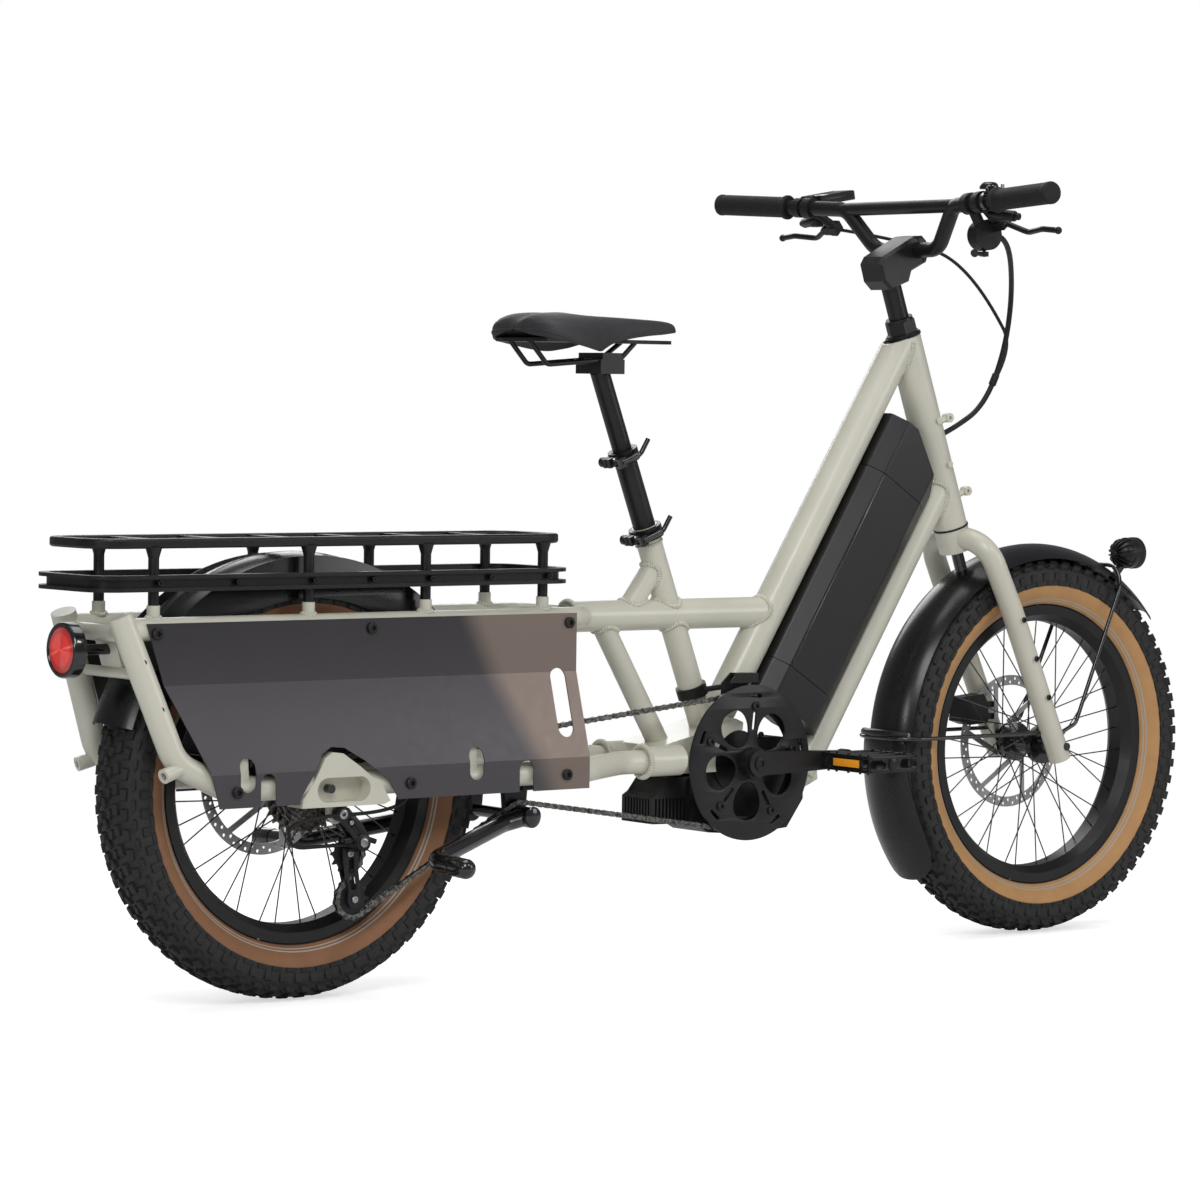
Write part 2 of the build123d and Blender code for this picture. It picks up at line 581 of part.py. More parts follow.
def spoke_ends(centre_x, flange_y):
    """Each spoke's two ends: at the hub flange and at the rim."""
    per_side = SPOKE_COUNT // 2
    ends = []
    for side in SIDES:
        for i in range(per_side):
            lean = 1 if i % 2 else -1
            rim_angle = radians((i + (0.25 if side > 0 else -0.25)) * 360 / per_side)
            hub_angle = rim_angle + lean * radians(SPOKE_CROSS_DEG)
            y = side * flange_y + lean * SPOKE_STAGGER
            hub_r = FLANGE_R - 4
            hub_end = Vector(centre_x + hub_r * cos(hub_angle), y, AXLE_Z + hub_r * sin(hub_angle))
            rim_end = Vector(centre_x + SPOKE_END_R * cos(rim_angle), side * 5 + lean, AXLE_Z + SPOKE_END_R * sin(rim_angle))
            ends.append((hub_end, rim_end))
    return ends


FRONT_FLANGE_Y = 29.0
REAR_FLANGE_Y = 22.0


def spoke_lines(centre_x):
    """Where each spoke meets the rim, and its direction there."""
    flange_y = FRONT_FLANGE_Y if centre_x == FRONT_X else REAR_FLANGE_Y
    return [(end, (end - start).normalized()) for start, end in spoke_ends(centre_x, flange_y)]


def make_hub(centre_x, flange_y, half_width, axle_half, rotor_y):
    """Hub shell and axle in one turned piece, with flanges and a rotor boss."""
    with BuildSketch(across(centre_x)) as shape:
        with BuildLine():
            Polyline((-axle_half, 0), (-axle_half, AXLE_R), (-half_width, AXLE_R), (-half_width, HUB_CORE_R - 2),
                     (-flange_y - 5, HUB_CORE_R), (-flange_y - 5, FLANGE_R), (-flange_y + 5, FLANGE_R),
                     (-flange_y + 7, HUB_CORE_R + 2), (flange_y - 7, HUB_CORE_R + 2), (flange_y - 5, FLANGE_R),
                     (flange_y + 5, FLANGE_R), (flange_y + 5, ROTOR_BOSS_R - 3), (rotor_y - ROTOR_T / 2, ROTOR_BOSS_R - 3),
                     (rotor_y - ROTOR_T / 2, HUB_CORE_R), (rotor_y + ROTOR_T / 2 + 3, HUB_CORE_R),
                     (half_width, HUB_CORE_R - 3), (half_width, AXLE_R), (axle_half, AXLE_R), (axle_half, 0),
                     (-axle_half, 0))
        make_face()
    revolve(shape.sketch, axis=Axis((centre_x, 0, AXLE_Z), (0, 1, 0)))


def make_spokes(centre_x, flange_y):
    """Thin rods from flange to rim, crossing in pairs."""
    for start, end in spoke_ends(centre_x, flange_y):
        rod(start, end, SPOKE_R)


def make_rotor(centre_x, rotor_y):
    """A drilled brake ring on curved arms."""
    low = rotor_y - ROTOR_T / 2
    with BuildSketch(cross_plane(low)) as shape:
        with Locations((-centre_x, AXLE_Z)):
            Circle(ROTOR_R)
            Circle(ROTOR_R - ROTOR_BAND, mode=Mode.SUBTRACT)
            Circle(ROTOR_BOSS_R + 6)
            with PolarLocations((ROTOR_R - ROTOR_BAND + ROTOR_BOSS_R + 6) / 2, 6):
                Rectangle((ROTOR_R - ROTOR_BAND - ROTOR_BOSS_R) / cos(radians(28)) + 4, 8, rotation=28)
            Circle(HUB_CORE_R + FIT, mode=Mode.SUBTRACT)
            with PolarLocations(ROTOR_R - 5, 30):
                Circle(2.3, mode=Mode.SUBTRACT)
            with PolarLocations(ROTOR_R - 10.5, 30, start_angle=6):
                Circle(2.3, mode=Mode.SUBTRACT)
    extrude(shape.sketch, amount=ROTOR_T)


FRONT_ROTOR_Y = 41.5
REAR_ROTOR_Y = 58.0
for wheel, centre_x in (("front", FRONT_X), ("rear", REAR_X)):
    with BuildPart() as tyre:
        make_tyre(centre_x)
    save(tyre, f"{wheel}_tyre")
    with BuildPart() as rim:
        make_rim(centre_x)
    save(rim, f"{wheel}_rim")

with BuildPart() as front_hub:
    make_hub(FRONT_X, FRONT_FLANGE_Y, 48.5, 84, FRONT_ROTOR_Y)
    make_spokes(FRONT_X, FRONT_FLANGE_Y)
save(front_hub, "front_hub")
with BuildPart() as front_rotor:
    make_rotor(FRONT_X, FRONT_ROTOR_Y)
save(front_rotor, "front_rotor")

with BuildPart() as rear_hub:
    make_hub(REAR_X, REAR_FLANGE_Y, DROPOUT_Y[0] - 1, 98, REAR_ROTOR_Y)
    make_spokes(REAR_X, REAR_FLANGE_Y)
    pin(REAR_X, AXLE_Z, -DROPOUT_Y[0] + 1, -REAR_FLANGE_Y - 4, HUB_CORE_R)
save(rear_hub, "rear_hub")
with BuildPart() as rear_rotor:
    make_rotor(REAR_X, REAR_ROTOR_Y)
save(rear_rotor, "rear_rotor")


# --- Fork and steering ---
BLADE_R = 16.5
BLADE_Y = 66.0
CROWN_LOW = 312.0
BLADE_ROUTE = [(2, 10, 329), (6, 62, 329), (20, BLADE_Y, 210), (39, BLADE_Y, 0), (42, BLADE_Y, -36)]

with BuildPart() as fork:
    rod(on_steer(0, 0, CROWN_LOW), on_steer(0, 0, HEAD_TUBE_LOW - GAP), HEAD_TUBE_R + 0.5)
    rod(on_steer(0, 0, CROWN_LOW), on_steer(0, 0, HEAD_TUBE_HIGH + 4), STEERER_R)
    for side in SIDES:
        blade = [on_steer(x, side * y, s) for x, y, s in BLADE_ROUTE]
        pipe(blade, [44, 90, 60], BLADE_R)
        for s in (196, 132, 68):
            x = 21 + (210 - s) * 0.085
            rod(on_steer(x, side * (BLADE_Y + 8), s), on_steer(x, side * (BLADE_Y + BLADE_R + 2), s), 5.5)
            rod(on_steer(x, side * (BLADE_Y + 10), s), on_steer(x, side * (BLADE_Y + BLADE_R + 3), s), 2.6,
                Mode.SUBTRACT)
    pin(FRONT_X, AXLE_Z, -90, 90, AXLE_R + FIT, Mode.SUBTRACT)
save(fork, "fork")

STEM_HALF_W = 24.0
LOCKNUT = (HEAD_TUBE_HIGH + SWING, HEAD_TUBE_HIGH + 5, HEAD_TUBE_HIGH + 27)
STEM_LOW = 724.0
bar_centre = on_steer(CLAMP_X, 0, CLAMP_S)

with BuildPart() as stem:
    rod(on_steer(0, 0, LOCKNUT[0]), on_steer(0, 0, LOCKNUT[1]), HEAD_TUBE_R - 1)
    with BuildSketch(Plane(origin=on_steer(0, 0, LOCKNUT[1]), x_dir=head_forward, z_dir=head_up)) as nut:
        RegularPolygon(23, 6)
    extrude(nut.sketch, amount=LOCKNUT[2] - LOCKNUT[1] - 3)
    rod(on_steer(0, 0, LOCKNUT[2] - 4), on_steer(0, 0, LOCKNUT[2] + 1), STEERER_R + 5)
    rod(on_steer(0, 0, LOCKNUT[0]), on_steer(0, 0, HEAD_TUBE_HIGH + 4), STEERER_R, Mode.SUBTRACT)
    rod(on_steer(0, 0, HEAD_TUBE_HIGH + 4), on_steer(0, 0, STEM_LOW + 8), STEERER_R - 0.2)
    # faceted block, split for the handlebar
    side_face = Plane(origin=on_steer(0, STEM_HALF_W, 0), x_dir=-head_forward, z_dir=(0, 1, 0))
    with BuildSketch(side_face) as block:
        Polygon((31, STEM_LOW + 16), (30, STEM_LOW + 42), (20, STEM_LOW + 50), (-CLAMP_X, STEM_LOW + 59),
                (-CLAMP_X - 16, STEM_LOW + 55), (-CLAMP_X - 22, STEM_LOW + 45), (-CLAMP_X - 22, STEM_LOW + 29),
                (-CLAMP_X - 12, STEM_LOW + 16), (-28, STEM_LOW + 13), (-18, STEM_LOW), (22, STEM_LOW),
                align=None)
    extrude(block.sketch, amount=-2 * STEM_HALF_W)
    upright = [e for e in stem.part.edges() if abs(e.center().Y) > STEM_HALF_W - 0.1]
    chamfer(upright, 4)
    pin(bar_centre.X, bar_centre.Z, -40, 40, RISER_R + 0.1, Mode.SUBTRACT)
    with Locations(Plane(origin=on_steer(CLAMP_X + 4, 0, CLAMP_S), x_dir=head_forward, z_dir=(0, 1, 0))):
        Box(1.6, 80, 80, mode=Mode.SUBTRACT)
save(stem, "stem")

RISE_TOP = front(-282, 116, 794)
BAR_END = front(-321, BAR_HALF, 805)
CROSSBAR_R = 9.8
bar_route = [
    Vector(bar_centre.X, 0, bar_centre.Z),
    Vector(bar_centre.X, 66, bar_centre.Z),
    RISE_TOP,
    BAR_END,
]
grip_dir = (BAR_END - RISE_TOP).normalized()


def on_bar(side, from_end, up=0.0, ahead=0.0):
    """A point on the straight part of the bar, a distance in from its end."""
    p = BAR_END - grip_dir * from_end
    return Vector(p.X + ahead, side * p.Y, p.Z + up)


def bar_plane(side, from_end):
    """Square to the bar, with z pointing inwards along it and x up."""
    inward = Vector(-grip_dir.X, -side * grip_dir.Y, -grip_dir.Z)
    upward = Vector(0, 0, 1) - inward * inward.Z
    return Plane(origin=on_bar(side, from_end), x_dir=upward, z_dir=inward)


with BuildPart() as handlebar:
    for side in SIDES:
        pipe(mirrored(bar_route, side), [36, 30], BAR_R)
        rod(Vector(bar_centre.X, 0, bar_centre.Z), (bar_centre.X, side * 30, bar_centre.Z), RISER_R)
    joint = RISE_TOP
    rod((joint.X, -joint.Y, joint.Z), joint, CROSSBAR_R)
save(handlebar, "handlebar")

with BuildPart() as grips:
    for side in SIDES:
        rod(on_bar(side, -4), on_bar(side, GRIP_LENGTH), GRIP_R)
        rod(on_bar(side, GRIP_LENGTH - 8), on_bar(side, GRIP_LENGTH), GRIP_R + 3)
        rod(on_bar(side, 0), on_bar(side, GRIP_LENGTH + 1), BAR_R + FIT, Mode.SUBTRACT)
save(grips, "grips")


# --- Battery ---
BATTERY_SPAN = (UPPER_TUBE_R + GAP / 4, BAY_PITCH - LOWER_TUBE_R - GAP / 4)
BATTERY_EDGE = 25.0  # half width where it meets the tubes
BATTERY_FACE = (48.0, 130.0)  # flat side face
BATTERY_HALF_W = 43.0
TOP_SEAM = 206.0
LOW_SEAM = 531.0
COVER_END = 585.0
SEAM = 1.0


def battery_block(top, low):
    """A bar of the battery's six-sided section between two places along the bay."""
    near, far = BATTERY_SPAN
    half = [(near, BATTERY_EDGE), (BATTERY_FACE[0], BATTERY_HALF_W), (BATTERY_FACE[1], BATTERY_HALF_W),
            (far, BATTERY_EDGE)]
    outline = half + [(x, -y) for x, y in reversed(half)]
    with BuildSketch(Plane(origin=in_bay(0, 0, top), x_dir=bay_down, z_dir=-bay_up)) as section:
        Polygon(*[(x, y) for x, y in outline], align=None)
        fillet(section.vertices(), 7)
    extrude(section.sketch, amount=low - top)


with BuildPart() as battery:
    battery_block(TOP_SEAM + SEAM / 2, LOW_SEAM - SEAM / 2)
save(battery, "battery")

with BuildPart() as battery_covers:
    battery_block(118, TOP_SEAM - SEAM / 2)
    # the top end is cut back along the head tube
    slope = [in_bay(20, 0, 92), in_bay(70, 0, 119), in_bay(134, 0, 158), in_bay(170, 0, 196), in_bay(190, 0, 90)]
    slab([(p.X, p.Z) for p in slope], -60, 60, Mode.SUBTRACT)
    battery_block(LOW_SEAM + SEAM / 2, COVER_END)
save(battery_covers, "battery_covers")


# --- Motor ---
MOTOR_HALF_W = 41.0
FIN_COUNT = 9

with BuildPart() as motor_unit:
    pin(CRANK_X, CRANK_Z, -MOTOR_HALF_W, MOTOR_HALF_W, MOTOR_R)
    slab([(CRANK_X - 84, 204), (CRANK_X - 84, 262), (CRANK_X - 70, 270), (CRANK_X + 20, 270), (CRANK_X + 24, 318),
          (CRANK_X + 88, 316), (CRANK_X + 118, 284), (CRANK_X + 126, 262), (CRANK_X + 126, 226),
          (CRANK_X + 96, 186), (CRANK_X + 20, 180), (CRANK_X - 50, 186)], -MOTOR_HALF_W + 2, MOTOR_HALF_W - 2)
    # keep clear of the yoke above and behind
    slab([(CRANK_X - 190, YOKE_Z[0] - GAP), (CRANK_X - 190, 380), (CRANK_X + 8, 380), (CRANK_X + 8, 334),
          (CRANK_X - 40, 334), (CRANK_X - 52, YOKE_Z[0] - GAP)], -60, 60, Mode.SUBTRACT)
    pin(CRANK_X, CRANK_Z, -MOTOR_HALF_W, MOTOR_HALF_W, MOTOR_R)
    # finned heat sink behind
    slab([(CRANK_X - 148, 202), (CRANK_X - 148, 238), (CRANK_X - 138, 244), (CRANK_X - 120, 266),
          (CRANK_X - 80, 266), (CRANK_X - 80, 200)], -34, 34)
    with Locations(Plane(origin=(CRANK_X - 116, -34, 220))):
        with GridLocations(6.4, 1, FIN_COUNT, 1):
            Box(3.2, 10, 34, mode=Mode.SUBTRACT)
    with Locations(Plane(origin=(CRANK_X - 148, 0, 220))):
        with GridLocations(1, 6.4, 1, FIN_COUNT):
            Box(10, 3.2, 34, mode=Mode.SUBTRACT)
    pin(CRANK_X, CRANK_Z, -60, 60, SPINDLE_R + FIT, Mode.SUBTRACT)
save(motor_unit, "motor_unit")


# --- Crankset ---
GUARD_LOW = CHAIN_Y - 9.5
GUARD_HUB_R = 26.0
GUARD_RIM = 28.0
ARM_ANGLES = [12 + 72 * i for i in range(5)]
CRANK_T = 14.0
RING_R = CHAIN_PITCH / (2 * sin(radians(180 / RING_TEETH)))
COG_R = CHAIN_PITCH / (2 * sin(radians(180 / COG_TEETH)))
JOCKEY_R = CHAIN_PITCH / (2 * sin(radians(180 / JOCKEY_TEETH)))
SPACER_R = 6.0
SPACER_AT = 80.0
SQUARE_HALF = 8.0


def toothed_disc(x, z, y_mid, pitch_r, teeth, thickness, bore):
    """A sprocket: a disc with a pointed tooth between each pair of rollers."""
    with BuildSketch(cross_plane(y_mid - thickness / 2)) as shape:
        with Locations((-x, z)):
            Circle(pitch_r - TOOTH_H)
            with PolarLocations(pitch_r - TOOTH_H + 3, teeth):
                Trapezoid(7, CHAIN_PITCH * 0.5, 66, rotation=-90)
            Circle(bore, mode=Mode.SUBTRACT)
    extrude(shape.sketch, amount=thickness)


with BuildPart() as chainring:
    toothed_disc(CRANK_X, CRANK_Z, CHAIN_Y, RING_R, RING_TEETH, RING_T, RING_R - 20)
    for angle in ARM_ANGLES:
        x = CRANK_X + SPACER_AT * cos(radians(angle))
        z = CRANK_Z + SPACER_AT * sin(radians(angle))
        pin(x, z, GUARD_LOW + GUARD_T, CHAIN_Y, SPACER_R)
save(chainring, "chainring")

with BuildPart() as chain_guard:
    with BuildSketch(cross_plane(GUARD_LOW)) as disc:
        with Locations((-CRANK_X, CRANK_Z)):
            Circle(GUARD_R)
            Circle(GUARD_R - GUARD_RIM, mode=Mode.SUBTRACT)
            Circle(GUARD_HUB_R)
            for angle in ARM_ANGLES:
                with PolarLocations((GUARD_R - GUARD_RIM + GUARD_HUB_R) / 2, 1, start_angle=180 - angle):
                    Rectangle(GUARD_R - GUARD_RIM - GUARD_HUB_R + 8, 17)
                with PolarLocations(SPACER_AT + 2, 1, start_angle=180 - angle):
                    Circle(11)
                with PolarLocations(GUARD_R - 14, 1, start_angle=180 - angle):
                    Rectangle(8, 18, mode=Mode.SUBTRACT)
            Circle(SPINDLE_R + FIT, mode=Mode.SUBTRACT)
    extrude(disc.sketch, amount=GUARD_T)
save(chain_guard, "chain_guard")


def crank_arm(side, direction):
    """A tapered arm from the spindle to the pedal, with rounded ends."""
    low, high = sorted((side * (CRANK_Y - CRANK_T / 2), side * (CRANK_Y + CRANK_T / 2)))
    reach = direction * CRANK_LENGTH
    with BuildSketch(cross_plane(low)) as arm:
        with BuildLine():
            Polyline((-CRANK_X, CRANK_Z + 17), (-CRANK_X - reach, CRANK_Z + 12), (-CRANK_X - reach, CRANK_Z - 12),
                     (-CRANK_X, CRANK_Z - 17), (-CRANK_X, CRANK_Z + 17))
        make_face()
        with Locations((-CRANK_X, CRANK_Z)):
            Circle(19)
        with Locations((-CRANK_X - reach, CRANK_Z)):
            Circle(14)
    extrude(arm.sketch, amount=high - low)


with BuildPart() as crank_right:
    crank_arm(-1, 1)
    pin(CRANK_X, CRANK_Z, -CRANK_Y, GUARD_LOW - GAP, 22)
    pin(CRANK_X, CRANK_Z, -130, 0, SPINDLE_R + FIT, Mode.SUBTRACT)
    pin(CRANK_X + CRANK_LENGTH, CRANK_Z, -130, 0, PEDAL_PIN_R + FIT, Mode.SUBTRACT)
save(crank_right, "crank_right")

with BuildPart() as crank_left:
    crank_arm(1, -1)
    pin(CRANK_X, CRANK_Z, -CRANK_Y - CRANK_T / 2, CRANK_Y, SPINDLE_R)
    pin(CRANK_X, CRANK_Z, MOTOR_HALF_W + SWING, CRANK_Y, 19)
    pin(CRANK_X - CRANK_LENGTH, CRANK_Z, 0, 130, PEDAL_PIN_R + FIT, Mode.SUBTRACT)
save(crank_left, "crank_left")


def make_pedal(side, x):
    """A cage pedal on its pin: two end plates, a barrel and cross bars, with a reflector block."""
    face = side * (CRANK_Y + CRANK_T / 2)
    inner = face + side * SWING
    outer = inner + side * PEDAL_WIDTH
    low, high = sorted((inner, outer))
    pin(x, CRANK_Z, *sorted((side * (CRANK_Y - CRANK_T / 2), outer)), PEDAL_PIN_R)
    pin(x, CRANK_Z, low, high, 10)
    for y in (low, (low + high) / 2 - 4, high - 8):
        with Locations((x, y, CRANK_Z)):
            Box(PEDAL_LENGTH, 8, PEDAL_H, align=(Align.CENTER, Align.MIN, Align.CENTER))
    for end in (-1, 1):
        with Locations((x + end * (PEDAL_LENGTH / 2 - 4), (low + high) / 2, CRANK_Z)):
            Box(8, PEDAL_WIDTH, PEDAL_H)


with BuildPart() as pedal_right:
    make_pedal(-1, CRANK_X + CRANK_LENGTH)
save(pedal_right, "pedal_right")
with BuildPart() as pedal_left:
    make_pedal(1, CRANK_X - CRANK_LENGTH)
save(pedal_left, "pedal_left")

COG_PITCH_Y = 4.6
COG_SIZES = [COG_TEETH + extra for extra in (0, 2, 5, 8, 12, 16, 20)]
with BuildPart() as cassette:
    for i, teeth in enumerate(COG_SIZES):
        pitch_r = CHAIN_PITCH / (2 * sin(radians(180 / teeth)))
        toothed_disc(REAR_X, AXLE_Z, CHAIN_Y + i * COG_PITCH_Y, pitch_r, teeth, RING_T, HUB_CORE_R + 1)
    pin(REAR_X, AXLE_Z, CHAIN_Y - 4, CHAIN_Y + (len(COG_SIZES) - 1) * COG_PITCH_Y + 1, HUB_CORE_R + 4)
    pin(REAR_X, AXLE_Z, CHAIN_Y - 5, CHAIN_Y + 60, HUB_CORE_R + FIT, Mode.SUBTRACT)
save(cassette, "cassette")


# --- Chain ---
GUIDE_AT = (REAR_X + 52, 194.0)
TENSION_AT = (REAR_X + 60, 133.0)
STAND_X = REAR_X + 335.0
STAND_Z = 229.0
SLIDER_R = 19.0
# each wheel the chain passes: X, Z, pitch radius, and 1 where it runs round anticlockwise
CHAIN_WHEELS = [
    (CRANK_X, CRANK_Z, RING_R, 1),
    (REAR_X, AXLE_Z, COG_R, 1),
    (*GUIDE_AT, JOCKEY_R, -1),
    (*TENSION_AT, JOCKEY_R, 1),
    (STAND_X, STAND_Z, SLIDER_R, -1),
]


def chain_tangents(delta):
    """Straight runs between the wheels, a distance outside the pitch line."""
    runs = []
    for i, (x0, z0, r0, turn0) in enumerate(CHAIN_WHEELS):
        x1, z1, r1, turn1 = CHAIN_WHEELS[(i + 1) % len(CHAIN_WHEELS)]
        r0 += turn0 * delta
        r1 += turn1 * delta
        span = hypot(x1 - x0, z1 - z0)
        angle = atan2(z1 - z0, x1 - x0) - asin((turn1 * r1 - turn0 * r0) / span)
        nx, nz = -sin(angle), cos(angle)
        runs.append(((x0 - turn0 * r0 * nx, z0 - turn0 * r0 * nz), (x1 - turn1 * r1 * nx, z1 - turn1 * r1 * nz)))
    return runs


def chain_loop(delta):
    """The closed outline of the chain, a distance outside the pitch line."""
    runs = chain_tangents(delta)
    for i, (start, end) in enumerate(runs):
        Line((-start[0], start[1]), (-end[0], end[1]))
        x, z, radius, turn = CHAIN_WHEELS[(i + 1) % len(runs)]
        leave = runs[(i + 1) % len(runs)][0]
        a0 = atan2(end[1] - z, end[0] - x)
        a1 = atan2(leave[1] - z, leave[0] - x)
        sweep_angle = turn * ((turn * (a1 - a0)) % (2 * pi))
        middle = a0 + sweep_angle / 2
        r = radius + turn * delta
        ThreePointArc((-end[0], end[1]), (-x - r * cos(middle), z + r * sin(middle)), (-leave[0], leave[1]))


with BuildPart() as chain:
    for side in SIDES:
        low, high = sorted((side * CHAIN_INNER / 2, side * CHAIN_OUTER / 2))
        with BuildSketch(cross_plane(CHAIN_Y + low)) as plates:
            with BuildLine():
                chain_loop(CHAIN_H / 2)
            make_face()
            with BuildLine():
                chain_loop(-CHAIN_H / 2)
            make_face(mode=Mode.SUBTRACT)
        extrude(plates.sketch, amount=high - low)
    for start, end in chain_tangents(0):
        length = hypot(end[0] - start[0], end[1] - start[1])
        count = int((length - 4 * CHAIN_PITCH) // CHAIN_PITCH)
        for i in range(count):
            t = (2.5 + i) * CHAIN_PITCH / length
            x = start[0] + (end[0] - start[0]) * t
            z = start[1] + (end[1] - start[1]) * t
            pin(x, z, CHAIN_Y - CHAIN_OUTER / 2, CHAIN_Y + CHAIN_OUTER / 2, 2.4)
save(chain, "chain")


# --- Derailleur ---
CAGE_GAP = (5.0, 7.0)  # of each cage plate from the chain's middle
CAGE_PIN_R = 2.5
HANGER_AT = (REAR_X + 20.0, 250.0)


def make_jockey(x, z):
    """A small toothed pulley with a wider boss."""
    toothed_disc(x, z, CHAIN_Y, JOCKEY_R, JOCKEY_TEETH, RING_T, CAGE_PIN_R + FIT)
    pin(x, z, CHAIN_Y - CAGE_GAP[0] + 1, CHAIN_Y + CAGE_GAP[0] - 1, 9)
    pin(x, z, CHAIN_Y - 10, CHAIN_Y + 10, CAGE_PIN_R + FIT, Mode.SUBTRACT)


with BuildPart() as jockey_upper:
    make_jockey(*GUIDE_AT)
save(jockey_upper, "jockey_upper")
with BuildPart() as jockey_lower:
    make_jockey(*TENSION_AT)
save(jockey_lower, "jockey_lower")

with BuildPart() as derailleur:
    for y_low, y_high in ((CHAIN_Y - CAGE_GAP[1], CHAIN_Y - CAGE_GAP[0]),
                          (CHAIN_Y + CAGE_GAP[0], CHAIN_Y + CAGE_GAP[1])):
        slab([(GUIDE_AT[0] - 12, GUIDE_AT[1] + 4), (GUIDE_AT[0] + 12, GUIDE_AT[1] + 4),
              (GUIDE_AT[0] + 20, GUIDE_AT[1] - 22), (TENSION_AT[0] + 14, TENSION_AT[1] + 18),
              (TENSION_AT[0] + 10, TENSION_AT[1] - 4), (TENSION_AT[0] - 10, TENSION_AT[1] - 4),
              (GUIDE_AT[0] - 14, GUIDE_AT[1] - 20)], y_low, y_high)
        pin(*GUIDE_AT, y_low, y_high, 14)
        pin(*TENSION_AT, y_low, y_high, 11)
    for spot in (GUIDE_AT, TENSION_AT):
        pin(*spot, CHAIN_Y - CAGE_GAP[1] - 1, CHAIN_Y + CAGE_GAP[1] + 1, CAGE_PIN_R)
    # knuckle from the hanger bolt down to the cage
    pin(*HANGER_AT, -91.9, -84, 8)
    slab([(REAR_X + 12, 242), (REAR_X + 14, 260), (REAR_X + 34, 260), (REAR_X + 60, 240), (REAR_X + 60, 214),
          (REAR_X + 44, 214), (REAR_X + 34, 236)], -91, -84)
    slab([(REAR_X + 40, 240), (REAR_X + 62, 236), (REAR_X + 66, 206), (REAR_X + 58, 184), (REAR_X + 44, 184),
          (REAR_X + 38, 204)], -91, CHAIN_Y - CAGE_GAP[0])
save(derailleur, "derailleur")

CABLE_R = 2.5
PLATE_TOP = STAY_Z - 2 - SILL_R - 0.1
with BuildPart() as derailleur_cable:
    pipe([rear(124, -SILL_Y, PLATE_TOP), rear(124, -SILL_Y, 249), rear(-62, -SILL_Y, 249), rear(-62, -88, 208),
          rear(0, -82, 208), rear(37.9, -82, 208)], [18, 18, 18, 60], CABLE_R)
save(derailleur_cable, "derailleur_cable")

GUIDE_Z = 384.0
with BuildPart() as chain_guide:
    foot = seat_point(GUIDE_Z)
    rod(foot - seat_up * 8, foot + seat_up * 8, SEAT_TUBE_R + 4)
    rod(Vector(foot.X + 6, -16, GUIDE_Z + 2), Vector(REAR_X + 716, CHAIN_Y + 6, GUIDE_Z + 10), 4)
    slab([(REAR_X + 696, 380), (REAR_X + 696, 398), (REAR_X + 712, 412), (REAR_X + 752, 411),
          (REAR_X + 752, 398), (REAR_X + 736, 390)], CHAIN_Y + 5, CHAIN_Y + 7.5)
    slab([(REAR_X + 700, 398), (REAR_X + 712, 412), (REAR_X + 752, 411), (REAR_X + 752, 398)],
         CHAIN_Y - 8, CHAIN_Y - 5.5)
    slab([(REAR_X + 712, 409), (REAR_X + 712, 412), (REAR_X + 752, 411), (REAR_X + 752, 408)],
         CHAIN_Y - 8, CHAIN_Y + 7.5)
    rod(foot - seat_up * 9, foot + seat_up * 9, SEAT_TUBE_R + FIT, Mode.SUBTRACT)
save(chain_guide, "chain_guide")


# --- Kickstand ---
SHAFT_R = 8.0
EAR_Y = (44.0, 54.0)
LEG_Y = 77.0
LEG_R = 12.0

with BuildPart() as kickstand_bracket:
    slab([(STAND_X - 21, PLATE_TOP - 6), (STAND_X + 21, PLATE_TOP - 6), (STAND_X + 21, PLATE_TOP),
          (STAND_X - 21, PLATE_TOP)], -SILL_Y - 2, SILL_Y + 2)
    for side in SIDES:
        low, high = sorted((side * EAR_Y[0], side * EAR_Y[1]))
        pin(STAND_X, STAND_Z, low, high, 16)
        slab([(STAND_X - 16, STAND_Z), (STAND_X + 16, STAND_Z), (STAND_X + 20, PLATE_TOP - 3),
              (STAND_X - 20, PLATE_TOP - 3)], low, high)
    # sleeve that the chain slides over
    pin(STAND_X, STAND_Z, -LEG_Y + LEG_R + 0.5, -EAR_Y[0], SLIDER_R - CHAIN_H / 2 - GAP)
    pin(STAND_X, STAND_Z, -120, 120, SHAFT_R + FIT, Mode.SUBTRACT)
save(kickstand_bracket, "kickstand_bracket")

with BuildPart() as kickstand:
    pin(STAND_X, STAND_Z, -LEG_Y, LEG_Y, SHAFT_R)
    for side in SIDES:
        pin(STAND_X, STAND_Z, *sorted((side * (LEG_Y - LEG_R + 1.5), side * (LEG_Y + LEG_R + 2))), 14)
        leg = [rear(334, LEG_Y, STAND_Z), rear(296, LEG_Y, 222), rear(120, 155, 188), rear(116, 236, 186)]
        pipe(mirrored(leg, side), [40, 46], LEG_R)
save(kickstand, "kickstand")


# --- Brakes ---
def make_caliper(centre_x, rotor_y, outline, y_low, y_high):
    """A block with a slot that the rotor turns in."""
    slab([(centre_x + x, AXLE_Z + z) for x, z in outline], y_low, y_high)
    pin(centre_x, AXLE_Z, rotor_y - 2, rotor_y + 2, ROTOR_R + 2, Mode.SUBTRACT)


